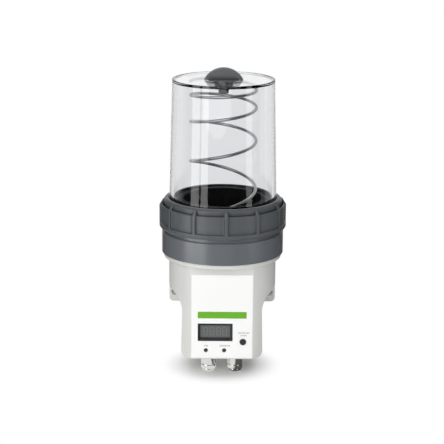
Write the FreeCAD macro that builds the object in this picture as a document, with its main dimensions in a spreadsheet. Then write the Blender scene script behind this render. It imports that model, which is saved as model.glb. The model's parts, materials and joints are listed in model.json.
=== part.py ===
"""Wall-mounted automatic lubricator: spring-loaded clear reservoir over an electric piston pump.

Frame: +Z up, the front faces -Y, and the origin lies midway between the two mounting holes on the
wall plane. Every piece is drawn about the reservoir's vertical axis and then placed ahead of the wall.
"""
import FreeCAD, Part
import math
import os
import re

import Sketcher

V = FreeCAD.Vector

# Driving sizes in millimetres: name, value or formula, meaning. Heights are above the mounting holes.
SIZES = (
    ("axis_setback", 54.0, "reservoir axis ahead of the wall plane"),
    ("fit_gap", 0.1, "gap between seated pieces of different bodies"),
    ("running_gap", 0.05, "radial gap of a shaft in its bearing"),
    ("slip_gap", 0.3, "gap between curved pieces that only pass each other"),
    ("housing_r", 43.6, "outer radius of the drive housing"),
    ("panel_depth", 35.6, "flat front ahead of the axis"),
    ("housing_top", 48.7, "top face of the housing flange"),
    ("housing_low", 33.4, "bottom of the housing below the mounting holes"),
    ("housing_wall", 2.5, "housing wall"),
    ("top_plate", 4.0, "roof of the housing under the reservoir"),
    ("flange_r", "=base_r - flange_inset", "radius of the housing flange"),
    ("flange_inset", 1.7, "housing flange inside the reservoir base"),
    ("flange_height", 3.7, "height of the housing flange"),
    ("waist_half", "=cavity_half + side_wall", "half width of the housing beside the mounting holes"),
    ("side_wall", 2.8, "housing wall beside the room"),
    ("foot_half", "=waist_half + foot_flare", "half width of the housing at its bottom"),
    ("foot_flare", 0.95, "widening of the housing towards its bottom"),
    ("foot_round", 4.8, "rounding of the bottom corners"),
    ("panel_round", 1.6, "rounding of the front panel's upright edges"),
    ("scallop_r", 16.3, "radius of the hollow that clears a screwdriver"),
    ("scallop_height", 5.0, "centre of that hollow above the mounting holes"),
    ("ear_half", "=hole_spacing / 2 + ear_edge", "half width over the mounting ears"),
    ("ear_edge", 5.0, "ear outside the middle of its hole"),
    ("ear_depth", 12.0, "thickness of a mounting ear"),
    ("ear_low", 8.4, "ear below its hole"),
    ("ear_top", 40.0, "ear above its hole"),
    ("ear_round", 3.5, "rounding of the ear's lower corner"),
    ("ear_blend", 5.0, "blend between ear and housing side"),
    ("hole_spacing", "=2 * (waist_half + hole_reach)", "distance between the mounting holes"),
    ("hole_reach", 7.8, "mounting hole beside the housing's waist"),
    ("hole_r", 3.25, "radius of a mounting hole"),
    ("cavity_half", "=cell_long / 2 + tray_end + tray_room", "half width of the room inside the housing"),
    ("tray_room", 2.4, "room beside the battery tray"),
    ("cover_rim", 1.4, "rear cover beyond the opening"),
    ("cover_thick", 2.5, "rear cover"),
    ("cover_recess", 0.2, "rear cover behind the wall plane"),
    ("cover_gasket_thick", 1.0, "gasket of the rear cover"),
    ("cover_screw_x", "=cavity_half - cover_screw_edge", "cover screws beside the middle"),
    ("cover_screw_edge", 3.4, "cover screws from the room's sides"),
    ("cover_screw_inset", 3.6, "cover screws from the room's floor and roof"),
    ("cover_boss_r", 3.5, "screw boss of the rear cover"),
    ("cover_boss_long", 12.0, "length of that boss"),
    ("screw_r", 1.45, "shank radius of the small screws"),
    ("screw_head_r", 2.7, "head radius of the small screws"),
    ("screw_head", 1.9, "head height of the small screws"),
    ("screw_hole_r", 1.7, "clearance hole of the small screws"),
    ("screw_bite", 8.0, "depth a small screw goes in"),
    ("label_half", 24.6, "half width of the front label"),
    ("label_top", 37.2, "upper edge of the front label"),
    ("label_low", 32.4, "lower edge of the front label below the holes"),
    ("label_thick", 0.4, "front label"),
    ("window_x", 5.4, "display window left of the middle"),
    ("window_drop", 10.75, "display window below the mounting holes"),
    ("window_wide", 28.2, "display window width"),
    ("window_high", 14.9, "display window height"),
    ("module_inset", 0.5, "display module inside the window"),
    ("bezel_deep", 2.9, "depth of the display bezel"),
    ("bezel_edge", 1.9, "width of the bezel's slope"),
    ("bezel_slope", 1.5, "size of the bezel's slope"),
    ("lamp_left_x", 12.9, "left lamp beside the middle"),
    ("lamp_right_x", 1.9, "right lamp beside the middle"),
    ("lamp_drop", 26.0, "lamps below the mounting holes"),
    ("lamp_r", 1.65, "radius of a lamp"),
    ("lamp_proud", 0.3, "lamp in front of the label"),
    ("lamp_flange_r", 2.2, "foot of a lamp"),
    ("lamp_flange", 0.9, "height of that foot"),
    ("button_x", 17.0, "button right of the middle"),
    ("button_drop", 18.8, "button below the mounting holes"),
    ("button_r", 2.6, "radius of the button"),
    ("button_proud", 0.9, "button in front of the label"),
    ("button_flange_r", 3.6, "collar that keeps the button in"),
    ("button_flange", 0.9, "thickness of that collar"),
    ("button_travel", 0.5, "travel of the button"),
    ("switch_wide", 4.5, "key switch behind the button"),
    ("switch_high", 0.8, "height of the key switch"),
    ("board_half", 23.4, "half width of the control board"),
    ("board_top", 9.0, "upper edge of the control board"),
    ("board_low", 29.5, "lower edge of the control board below the holes"),
    ("board_thick", 1.6, "control board"),
    ("chip_x", 9.0, "chips beside the middle"),
    ("chip_half", 5.0, "half width of a chip"),
    ("chip_low", 20.0, "lower edge of a chip below the holes"),
    ("chip_top", 12.0, "upper edge of a chip below the holes"),
    ("chip_thick", 2.0, "height of a chip"),
    ("board_gap", 3.6, "control board behind the front wall"),
    ("post_x", 20.4, "board posts beside the middle"),
    ("post_high", 5.6, "upper board posts"),
    ("post_low", 26.3, "lower board posts below the holes"),
    ("post_r", 2.4, "radius of a board post"),
    ("post_hole_r", 1.0, "hole of a board post"),
    ("board_screw_bite", 2.5, "depth a board screw goes into its post"),
    ("base_r", 49.4, "outer radius of the reservoir base"),
    ("base_inner_r", "=base_r - base_wall", "inner radius of the reservoir base"),
    ("base_wall", 5.9, "wall of the reservoir base"),
    ("base_ring_top", 66.5, "top of the base's smooth band"),
    ("base_bevel", 0.8, "bevel of that band"),
    ("spigot_r", "=base_r - base_shoulder", "threaded spigot that takes the union nut"),
    ("base_shoulder", 1.98, "shoulder of the base outside the spigot"),
    ("spigot_top", 84.3, "top of that spigot"),
    ("floor_top", 68.0, "floor of the grease room"),
    ("floor_thick", 4.5, "that floor's thickness"),
    ("floor_r", "=hood_inner_low_r - floor_inset", "bore of the spigot above the grease floor"),
    ("floor_inset", 0.9, "bore of the spigot inside the hood"),
    ("feed_x", "=cavity_half - feed_tube_r - slip_gap", "grease feed left of the axis"),
    ("feed_y", 12.0, "grease feed and pump line ahead of the axis"),
    ("feed_r", 2.6, "bore of the grease feed"),
    ("feed_tube_r", 4.8, "outside of the grease feed"),
    ("feed_dish_r", 8.0, "dish round the feed in the floor"),
    ("feed_dish", 1.5, "depth of that dish"),
    ("feed_joint", 42.0, "height at which base and pump feed meet"),
    ("base_screw_at", 25.5, "base screws from the axis both ways"),
    ("base_boss_r", 4.0, "screw boss under the base"),
    ("gasket_thick", 1.5, "hood gasket"),
    ("gasket_inner_r", "=hood_inner_low_r + slip_gap", "inner radius of the hood gasket"),
    ("gasket_outer_r", "=hood_flange_r - slip_gap", "outer radius of the hood gasket"),
    ("hood_flange_r", "=spigot_r - hood_inset", "clamped flange of the hood"),
    ("hood_inset", 1.22, "hood flange inside the spigot's thread"),
    ("hood_flange", 3.5, "height of that flange"),
    ("hood_low_r", "=hood_flange_r - hood_step", "hood radius above its flange"),
    ("hood_step", 2.6, "reach of the clamped flange"),
    ("hood_top_r", "=hood_low_r - hood_draught", "hood radius at its top"),
    ("hood_draught", 2.4, "draught of the hood outside"),
    ("hood_top", 189.9, "rim of the hood"),
    ("hood_rim", 3.0, "width of the hood's rim"),
    ("hood_dish", 0.8, "top panel below the rim"),
    ("hood_panel", 1.6, "thickness of the top panel"),
    ("seat_r", 13.3, "sunk seat of the vent plug"),
    ("seat_deep", 1.3, "depth of that seat"),
    ("hood_inner_low_r", "=hood_low_r - hood_wall", "inner radius at the bottom"),
    ("hood_wall", 3.3, "hood wall at the bottom"),
    ("hood_inner_top_r", "=hood_top_r - hood_wall_top", "inner radius at the top"),
    ("hood_wall_top", 2.0, "hood wall at the top"),
    ("hood_round", 0.5, "rounding of the rim"),
    ("neck_r", 7.6, "outside of the neck ring in the top panel"),
    ("neck_long", 4.2, "neck ring below the top panel"),
    ("neck_lip_r", 9.4, "lip of the neck ring under the panel"),
    ("neck_lip", 1.2, "thickness of that lip"),
    ("stem_r", 4.2, "stem of the vent plug"),
    ("stem_low", 178.2, "lower end of the stem"),
    ("lug_reach", 6.3, "reach of the bayonet lugs"),
    ("lug_wide", 4.6, "width of the bayonet lugs"),
    ("lug_high", 3.2, "height of the bayonet lugs"),
    ("plug_collar_r", 12.7, "collar of the vent plug"),
    ("plug_collar", 1.5, "height of that collar"),
    ("grip_half", 15.5, "half width of the finger grip"),
    ("grip_high", 9.3, "height of the finger grip"),
    ("grip_thick", 6.5, "thickness of the finger grip"),
    ("grip_round", 0.7, "rounding of the finger grip"),
    ("notch_wide", 3.4, "notch in the plug's collar"),
    ("notch_deep", 2.0, "depth of that notch"),
    ("notch_at", 5.7, "notch left of the middle"),
    ("ring_groove", 9.2, "middle radius of the plug's seal"),
    ("ring_wide", 2.0, "width of the plug's seal"),
    ("ring_high", 0.7, "height of the plug's seal"),
    ("plate_r", "=floor_r - plate_inset", "radius of the follower plate"),
    ("plate_inset", 2.5, "follower inside the spigot's bore"),
    ("plate_top", 92.9, "rim of the follower cup at the bottom of its travel"),
    ("plate_thick", 3.0, "bottom of the follower cup"),
    ("plate_deep", 24.6, "height of the follower cup"),
    ("plate_bevel", 1.2, "bevel under the follower cup"),
    ("cup_r", "=seal_groove_r - cup_wall", "inside of the follower cup"),
    ("cup_wall", 2.8, "wall of the cup behind the seal"),
    ("plate_hub_r", 9.0, "middle hollow under the cup"),
    ("seal_r", "=floor_r - slip_gap", "lip of the follower seal"),
    ("seal_groove_r", "=plate_r - seal_groove", "groove for the follower seal"),
    ("seal_groove", 2.1, "depth of that groove"),
    ("seal_high", 1.8, "height of the follower seal"),
    ("seal_bevel", 0.45, "bevel of the seal's lip"),
    ("seal_drop", 1.5, "seal below the rim of the cup"),
    ("spring_r", "=cup_r - spring_inset", "middle radius of the follower spring"),
    ("spring_inset", 5.6, "follower spring inside the cup"),
    ("spring_wire_r", 1.25, "wire radius of the follower spring"),
    ("nut_top", 93.4, "top of the union nut's collar"),
    ("nut_lip_r", "=hood_low_r + lip_gap", "hole of the union nut"),
    ("lip_gap", 0.35, "play between the nut's lip and the hood"),
    ("nut_collar_r", "=hood_flange_r + slip_gap + collar_wall", "collar of the union nut"),
    ("collar_wall", 1.4, "wall of the nut's collar"),
    ("nut_collar_step", 1.6, "bevel of that collar"),
    ("nut_groove", 1.1, "groove beside the collar"),
    ("groove_deep", 1.8, "depth of that groove"),
    ("nut_skirt_top", 88.4, "top of the nut's skirt"),
    ("nut_skirt_r", "=spigot_r + slip_gap + nut_wall", "panels between the ribs"),
    ("nut_wall", 2.5, "wall of the nut between its ribs"),
    ("nut_skirt_bevel", 0.9, "bevel of the skirt"),
    ("nut_ledge_top", 73.3, "top of the lower ledge"),
    ("nut_ledge_slope", 0.6, "slope on that ledge"),
    ("nut_rib_r", "=nut_skirt_r + rib_proud", "radius over the ribs"),
    ("rib_proud", 1.3, "ribs outside the panels"),
    ("nut_edge", 70.6, "lower edge of the ledge"),
    ("nut_low", 69.6, "bottom of the union nut"),
    ("nut_low_r", "=nut_rib_r - nut_foot", "bottom radius of the union nut"),
    ("nut_foot", 0.6, "bottom of the nut inside its ribs"),
    ("rib_count", 12, "grip ribs"),
    ("rib_wide", 3.3, "width of a rib"),
    ("rib_top", 92.2, "top of a rib"),
    ("rib_top_r", "=nut_collar_r + rib_seat", "radius where the rib's slope starts"),
    ("rib_seat", 0.5, "start of the rib's slope outside the collar"),
    ("rib_slope", 5.1, "height of that slope"),
    ("rib_phase", 3.4, "turn of the nut as it is screwed down, degrees"),
    ("pump_right", "=motor_wall_x + bearing_wall + pump_ledge", "pump block right of the axis"),
    ("pump_ledge", 1.7, "pump block right of the motor wall"),
    ("pump_back", 2.0, "pump block's back ahead of the axis"),
    ("pump_front", 22.0, "pump block's front ahead of the axis"),
    ("pump_top", 3.0, "pump block's top"),
    ("port_x", "=motor_wall_x - port_step", "outlets beside the middle"),
    ("port_step", 6.6, "outlet from the motor wall"),
    ("shaft_height", 18.0, "camshaft and motor above the mounting holes"),
    ("shaft_r", 3.0, "camshaft journal"),
    ("cam_r", 6.0, "eccentric"),
    ("cam_throw", 1.0, "offset of the eccentric"),
    ("cam_wide", 6.0, "width of an eccentric"),
    ("cam_clearance", 0.2, "piston short of the eccentric's lowest reach"),
    ("bearing_r", 5.0, "outside of a camshaft bush"),
    ("bearing_wall_x", "=feed_x - feed_tube_r - bearing_wall - bearing_step", "inner face of the left bearing wall"),
    ("bearing_step", 0.4, "bearing wall clear of the feed tower"),
    ("bearing_wall", 2.8, "thickness of the bearing walls"),
    ("motor_wall_x", "=gear_x - bearing_wall - gear_step", "inner face of the right bearing wall"),
    ("gear_step", 3.3, "gear pair right of the motor wall"),
    ("wall_half", 7.0, "bearing wall beside the camshaft"),
    ("wall_rise", 8.5, "bearing wall above the camshaft"),
    ("motor_wall_rise", 13.0, "motor wall above the shafts"),
    ("piston_r", 3.0, "piston"),
    ("piston_head_r", 5.2, "head of a piston"),
    ("piston_head", 2.0, "height of that head"),
    ("piston_foot", 8.0, "lower end of a piston below the mounting holes"),
    ("piston_bore_low", 12.0, "end of the piston bore below the mounting holes"),
    ("piston_wire_r", 0.3, "wire radius of a piston spring"),
    ("port_r", 4.9, "threaded port of an outlet"),
    ("port_deep", 9.5, "depth of that port"),
    ("channel_r", 1.5, "grease channels"),
    ("channel_drop", 5.0, "cross channel below the mounting holes"),
    ("gear_module", 0.7, "module of the gear pair"),
    ("gear_teeth", 46, "teeth of the drive gear"),
    ("pinion_teeth", 16, "teeth of the motor pinion"),
    ("gear_backlash", 0.16, "play between the teeth"),
    ("pressure_angle", 20.0, "pressure angle of the teeth, degrees"),
    ("gear_x", "=cavity_half - gear_wide - gear_room", "inner face of the gear pair"),
    ("gear_room", 1.8, "gear pair clear of the housing"),
    ("gear_wide", 4.0, "width of the gear pair"),
    ("motor_r", 12.0, "motor"),
    ("motor_long", 38.0, "length of the motor"),
    ("motor_pilot_r", 3.4, "pilot boss of the motor"),
    ("motor_pilot", 2.0, "length of that boss"),
    ("motor_shaft_r", 1.5, "motor shaft"),
    ("motor_shaft_in", 6.0, "motor shaft inside the motor"),
    ("shaft_end", 0.6, "shafts beyond the gear pair"),
    ("motor_screw_at", 8.9, "motor screws from the motor's axis"),
    ("cell_r", 7.2, "battery cell"),
    ("cell_tip_r", 2.5, "tip of a cell"),
    ("cell_tip", 1.0, "height of that tip"),
    ("cell_long", 50.4, "length of a battery cell"),
    ("cell_pitch", 15.5, "distance between the cells"),
    ("cell_middle", 5.5, "middle cell above the mounting holes"),
    ("tray_floor", 2.4, "floor of the battery tray"),
    ("tray_end", 1.8, "end wall of the battery tray"),
    ("outlet_r", 6.1, "body of an outlet fitting"),
    ("outlet_bevel", 0.5, "bevel at its lower end"),
    ("outlet_low", 48.9, "lower end of a fitting below the mounting holes"),
    ("outlet_groove_at", 45.6, "groove of a fitting below the mounting holes"),
    ("outlet_groove", 0.9, "height of that groove"),
    ("outlet_groove_deep", 0.7, "depth of that groove"),
    ("outlet_thread", 8.9, "length of the fitting inside the pump"),
    ("outlet_seal", 1.0, "washer under the housing"),
    ("hose_r", 3.05, "socket for the hose"),
    ("hose_deep", 14.6, "depth of that socket"),
    ("collar_r", 4.35, "release collar"),
    ("collar_bore_r", 3.2, "bore of the release collar"),
    ("collar_in", 4.6, "release collar inside the fitting"),
    ("collar_head_r", 5.1, "head of the release collar"),
    ("collar_head", 0.9, "thickness of that head"),
    ("collar_travel", 0.6, "travel of the release collar"),
)

doc = FreeCAD.newDocument("automatic_lubricator")
sheet = doc.addObject("Spreadsheet::Sheet", "Sizes")
for row, (alias, value, meaning) in enumerate(SIZES, start=1):
    sheet.set(f"A{row}", meaning)
    sheet.set(f"B{row}", "0")
    sheet.setAlias(f"B{row}", alias)
doc.recompute()
for row, (alias, value, meaning) in enumerate(SIZES, start=1):
    sheet.set(f"B{row}", str(value))
doc.recompute()
pieces = []


def size(alias):
    """The value of one cell of the sheet."""
    return float(sheet.get(alias))


def bound(text):
    """An expression in which each size's name points to its cell."""
    return re.sub(r"[a-z]+(?:_[a-z]+)+", r"Sizes.\g<0>", str(text))


def place(piece, turn=None):
    """Moves a piece drawn about the reservoir's axis to its place ahead of the wall."""
    if turn:
        piece.Placement = FreeCAD.Placement(V(0, 0, 0), FreeCAD.Rotation(V(0, 0, 1), 1))
        piece.setExpression("Placement.Rotation.Angle", bound(turn))
    piece.setExpression("Placement.Base.y", bound("-axis_setback"))
    pieces.append(piece)
    return piece


def new_body(label, turn=None):
    body = doc.addObject("PartDesign::Body", label)
    body.Label = label
    return place(body, turn)


def new_sketch(body, plane, offset=0):
    """A sketch on one of the body's origin planes, moved along the plane's normal."""
    sketch = body.newObject("Sketcher::SketchObject", "profile")
    support = [item for item in body.Origin.OriginFeatures if item.Role == plane][0]
    sketch.AttachmentSupport = [(support, "")]
    sketch.MapMode = "FlatFace"
    sketch.setExpression("AttachmentOffset.Base.z", bound(offset))
    return sketch


def pin_point(sketch, item, end, place_x, place_y):
    """Ties one point of a sketch to the sheet, measured from the sketch's origin."""
    for kind, place_text in (("DistanceX", place_x), ("DistanceY", place_y)):
        number = sketch.addConstraint(Sketcher.Constraint(kind, -1, 1, item, end, 1.0))
        sketch.setExpression(f"Constraints[{number}]", bound(place_text))


def draw_outline(sketch, points):
    """A closed outline of straight lines through the given points."""
    first = sketch.GeometryCount
    count = len(points)
    corners = [V(math.cos(2 * math.pi * i / count), math.sin(2 * math.pi * i / count), 0) for i in range(count)]
    for i in range(count):
        sketch.addGeometry(Part.LineSegment(corners[i], corners[(i + 1) % count]), False)
    for i in range(count):
        follower = first + (i + 1) % count
        sketch.addConstraint(Sketcher.Constraint("Coincident", first + i, 2, follower, 1))
    for i, (place_x, place_y) in enumerate(points):
        pin_point(sketch, first + i, 1, place_x, place_y)


def draw_rectangle(sketch, left, right, low, high):
    draw_outline(sketch, ((left, low), (right, low), (right, high), (left, high)))


def draw_circle(sketch, centre_x, centre_y, radius):
    item = sketch.addGeometry(Part.Circle(V(0, 0, 0), V(0, 0, 1), 1.0), False)
    number = sketch.addConstraint(Sketcher.Constraint("Radius", item, 1.0))
    sketch.setExpression(f"Constraints[{number}]", bound(radius))
    pin_point(sketch, item, 3, centre_x, centre_y)


def extrude(body, sketch, length, cut=False):
    """Adds or removes a sketch's area along the plane's normal."""
    feature = body.newObject("PartDesign::Pocket" if cut else "PartDesign::Pad", "cut" if cut else "pad")
    feature.Profile = sketch
    feature.Reversed = bool(cut)
    feature.setExpression("Length", bound(length))
    return feature


def disc(body, plane, centre, radius, start, end, cut=False):
    """A round boss or hole between two distances along the plane's normal."""
    sketch = new_sketch(body, plane, start)
    draw_circle(sketch, centre[0], centre[1], radius)
    return extrude(body, sketch, f"({end}) - ({start})", cut)


def block(body, plane, left, right, low, high, start, end, cut=False):
    """A rectangular boss or pocket between two distances along the plane's normal."""
    sketch = new_sketch(body, plane, start)
    draw_rectangle(sketch, left, right, low, high)
    return extrude(body, sketch, f"({end}) - ({start})", cut)


def prism(body, plane, points, start, end, cut=False):
    sketch = new_sketch(body, plane, start)
    draw_outline(sketch, points)
    return extrude(body, sketch, f"({end}) - ({start})", cut)


def turned(body, points, centre=("0", "0")):
    """A turned shape about an upright line: points are radius and height."""
    sketch = new_sketch(body, "XZ_Plane", f"-({centre[1]})")
    draw_outline(sketch, [(f"({centre[0]}) + ({radius})", height) for radius, height in points])
    if centre[0] == "0":
        axis = (sketch, ["V_Axis"])
    else:
        item = sketch.addGeometry(Part.LineSegment(V(0, 0, 0), V(0, 1, 0)), True)
        pin_point(sketch, item, 1, centre[0], "0")
        pin_point(sketch, item, 2, centre[0], "1")
        axis = (sketch, ["Axis0"])
    feature = body.newObject("PartDesign::Revolution", "turned")
    feature.Profile = sketch
    feature.ReferenceAxis = axis
    feature.Angle = 360
    return feature


def lies_at(edge, axis, first, second):
    """Whether a straight edge runs along one axis at the two other coordinates given."""
    box = edge.BoundBox
    spans = {"x": box.XLength, "y": box.YLength, "z": box.ZLength}
    middle = {"x": box.Center.x, "y": box.Center.y, "z": box.Center.z}
    others = [name for name in "xyz" if name != axis]
    flat = all(spans[name] < 1e-3 for name in others) and spans[axis] > 1e-3
    return flat and abs(middle[others[0]] - first) < 1e-3 and abs(middle[others[1]] - second) < 1e-3


def dress(body, kind, base, test, amount):
    """A fillet or chamfer on the edges of a feature that pass a test."""
    doc.recompute()
    names = [f"Edge{i}" for i, edge in enumerate(base.Shape.Edges, start=1) if test(edge)]
    if not names:
        raise RuntimeError(f"{body.Label}: no edge to dress")
    feature = body.newObject(f"PartDesign::{kind}", kind.lower())
    feature.Base = (base, names)
    feature.setExpression("Radius" if kind == "Fillet" else "Size", bound(amount))
    return feature


def around(body, feature, count):
    """Repeats a feature round the upright axis."""
    pattern = body.newObject("PartDesign::PolarPattern", "around")
    pattern.Originals = [feature]
    pattern.Axis = ([item for item in body.Origin.OriginFeatures if item.Role == "Z_Axis"][0], [""])
    pattern.Angle = 360
    pattern.setExpression("Occurrences", bound(count))
    body.Tip = pattern
    return pattern


def shaped(label, shape):
    """A piece whose shape is worked out here from the sheet's sizes."""
    piece = doc.addObject("Part::Feature", label)
    piece.Label = label
    piece.Shape = shape
    return place(piece)


# Housing
EAR_FRONT = "(axis_setback - ear_depth)"
CAVITY_FLOOR = "(housing_wall - housing_low)"
CAVITY_ROOF = "(housing_top - top_plate)"
INNER_R = "(housing_r - housing_wall)"
INNER_DEPTH = "(panel_depth - housing_wall)"
SIDE_AT_EAR = "(waist_half + (foot_half - waist_half) * (scallop_height + ear_low) / (scallop_height + housing_low))"


def cover_screw_places():
    for side in (-1, 1):
        for height in (f"{CAVITY_FLOOR} + cover_screw_inset", f"{CAVITY_ROOF} - cover_screw_inset"):
            yield f"{side} * cover_screw_x", height


def post_places():
    for side in (-1, 1):
        for height in ("post_high", "-post_low"):
            yield f"{side} * post_x", height


def base_screw_places():
    for side in (-1, 1):
        for depth in (-1, 1):
            yield f"{side} * base_screw_at", f"{depth} * base_screw_at"


def housing_outside(body):
    """A round tower with a flat front, a rear block, two ears and hollowed, tapering sides."""
    disc(body, "XY_Plane", ("0", "0"), "housing_r", "-housing_low", "housing_top")
    block(body, "XY_Plane", "-foot_half", "foot_half", "0", "axis_setback", "-housing_low", "housing_top")
    block(body, "XY_Plane", "-ear_half", "ear_half", EAR_FRONT, "axis_setback", "-ear_low", "ear_top")
    block(body, "XY_Plane", "-housing_r", "housing_r", "-housing_r - 1", "-panel_depth",
          "-housing_low - 1", "housing_top + 1", cut=True)
    for side in (-1, 1):
        hollow = (f"{side} * (waist_half + scallop_r)", "scallop_height")
        disc(body, "XZ_Plane", hollow, "scallop_r", f"-{EAR_FRONT}", "housing_r", cut=True)
        flank = (("waist_half", "scallop_height"), ("2 * ear_half", "scallop_height"),
                 ("2 * ear_half", "-housing_low - 1"), ("foot_half", "-housing_low - 1"),
                 ("foot_half", "-housing_low"))
        mirrored = [(f"{side} * ({across})", height) for across, height in flank]
        prism(body, "XZ_Plane", mirrored, f"-{EAR_FRONT}", "housing_r", cut=True)
        under = ((SIDE_AT_EAR, "-ear_low"), ("2 * ear_half", "-ear_low"),
                 ("2 * ear_half", "-housing_low - 1"), ("foot_half", "-housing_low - 1"),
                 ("foot_half", "-housing_low"))
        mirrored = [(f"{side} * ({across})", height) for across, height in under]
        prism(body, "XZ_Plane", mirrored, "-axis_setback - 1", f"-{EAR_FRONT}", cut=True)
    return body.Tip


def housing_edges(body):
    """Rounds the upright panel edges, the foot corners and the ears."""
    depth = -size("panel_depth")
    edge_x = math.sqrt(size("housing_r") ** 2 - depth ** 2)
    last = dress(body, "Fillet", body.Tip,
                 lambda edge: any(lies_at(edge, "z", side * edge_x, depth) for side in (-1, 1)), "panel_round")
    low = -size("housing_low")
    foot = size("foot_half")
    last = dress(body, "Fillet", last,
                 lambda edge: any(lies_at(edge, "y", side * foot, low) for side in (-1, 1)), "foot_round")
    ear = size("ear_half")
    ear_low = -size("ear_low")
    last = dress(body, "Fillet", last,
                 lambda edge: any(lies_at(edge, "y", side * ear, ear_low) for side in (-1, 1)), "ear_round")
    fall = (size("scallop_height") + size("ear_low")) / (size("scallop_height") + size("housing_low"))
    flank = size("waist_half") + (foot - size("waist_half")) * fall
    dress(body, "Fillet", last,
          lambda edge: any(lies_at(edge, "y", side * flank, ear_low) for side in (-1, 1)), "ear_blend")


def housing_inside(body):
    """The room open to the rear, its rebate, bosses, posts and every hole."""
    corner_x = f"sqrt({INNER_R} ^ 2 - {INNER_DEPTH} ^ 2)"
    corner_y = f"sqrt({INNER_R} ^ 2 - cavity_half ^ 2)"
    room = ((f"-{corner_x}", f"-{INNER_DEPTH}"), (corner_x, f"-{INNER_DEPTH}"), ("cavity_half", f"-{corner_y}"),
            ("cavity_half", "axis_setback + 1"), ("-cavity_half", "axis_setback + 1"),
            ("-cavity_half", f"-{corner_y}"))
    prism(body, "XY_Plane", room, CAVITY_FLOOR, CAVITY_ROOF, cut=True)
    block(body, "XZ_Plane", "-cavity_half - cover_rim", "cavity_half + cover_rim",
          f"{CAVITY_FLOOR} - cover_rim", f"{CAVITY_ROOF} + cover_rim", "-axis_setback - 1",
          "-axis_setback + cover_recess + cover_thick + cover_gasket_thick", cut=True)
    seat = "-axis_setback + cover_recess + cover_thick + cover_gasket_thick"
    for spot in cover_screw_places():
        disc(body, "XZ_Plane", spot, "cover_boss_r", seat, f"{seat} + cover_boss_long")
    for spot in cover_screw_places():
        disc(body, "XZ_Plane", spot, "screw_r + running_gap", f"{seat} - 1", f"{seat} + screw_bite + 1", cut=True)
    for spot in post_places():
        disc(body, "XZ_Plane", spot, "post_r", f"{INNER_DEPTH} - board_gap", f"{INNER_DEPTH} + 0.5")
    for spot in post_places():
        disc(body, "XZ_Plane", spot, "post_hole_r", f"{INNER_DEPTH} - board_gap - 1", INNER_DEPTH, cut=True)


def housing_holes(body):
    """Openings for the display, lamps, button, outlets, grease feed, base screws and wall screws."""
    block(body, "XZ_Plane", "-window_x - window_wide / 2", "-window_x + window_wide / 2",
          "-window_drop - window_high / 2", "-window_drop + window_high / 2", f"{INNER_DEPTH} - 1",
          "panel_depth + 1", cut=True)
    for across in ("-lamp_left_x", "lamp_right_x"):
        disc(body, "XZ_Plane", (across, "-lamp_drop"), "lamp_r + fit_gap", f"{INNER_DEPTH} - 1",
             "panel_depth + 1", cut=True)
    disc(body, "XZ_Plane", ("button_x", "-button_drop"), "button_r + fit_gap", f"{INNER_DEPTH} - 1",
         "panel_depth + 1", cut=True)
    for side in (-1, 1):
        disc(body, "XY_Plane", (f"{side} * port_x", "-feed_y"), "port_r + slip_gap", "-housing_low - 1",
             f"{CAVITY_FLOOR} + 1", cut=True)
    disc(body, "XY_Plane", ("-feed_x", "-feed_y"), "feed_tube_r + slip_gap", f"{CAVITY_ROOF} - 1",
         "housing_top + 1", cut=True)
    for spot in base_screw_places():
        disc(body, "XY_Plane", spot, "screw_hole_r", f"{CAVITY_ROOF} - 1", "housing_top + 1", cut=True)
    for side in (-1, 1):
        disc(body, "XZ_Plane", (f"{side} * hole_spacing / 2", "0"), "hole_r", "-axis_setback - 1",
             f"-{EAR_FRONT} + 1", cut=True)


def make_housing():
    body = new_body("housing")
    housing_outside(body)
    housing_edges(body)
    disc(body, "XY_Plane", ("0", "0"), "flange_r", "housing_top - flange_height", "housing_top")
    housing_inside(body)
    housing_holes(body)


def make_rear_cover():
    """The cover with its screw holes, its gasket and the four screws."""
    outer = "-axis_setback + cover_recess"
    inner = f"{outer} + cover_thick"
    edges = ("-cavity_half - cover_rim + fit_gap", "cavity_half + cover_rim - fit_gap",
             f"{CAVITY_FLOOR} - cover_rim + fit_gap", f"{CAVITY_ROOF} + cover_rim - fit_gap")
    body = new_body("rear_cover")
    block(body, "XZ_Plane", *edges, outer, inner)
    for spot in cover_screw_places():
        disc(body, "XZ_Plane", spot, "screw_hole_r", f"{outer} - 1", f"{inner} + 1", cut=True)
        disc(body, "XZ_Plane", spot, "screw_head_r + fit_gap", f"{outer} - 1",
             f"{outer} + screw_head", cut=True)
    gasket = new_body("cover_gasket")
    block(gasket, "XZ_Plane", *edges, inner, f"{inner} + cover_gasket_thick")
    block(gasket, "XZ_Plane", "-cavity_half", "cavity_half", CAVITY_FLOOR, CAVITY_ROOF,
          f"{inner} - 1", f"{inner} + cover_gasket_thick + 1", cut=True)


def screw(point, axis, shank_r, shank, head_r, head):
    """A pan-head screw: the head's underside lies at the point and the shank runs along the axis."""
    stem = Part.makeCylinder(shank_r, shank, point, axis)
    cap = Part.makeCylinder(head_r, head, point - axis * head, axis)
    return stem.fuse(cap)


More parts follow.
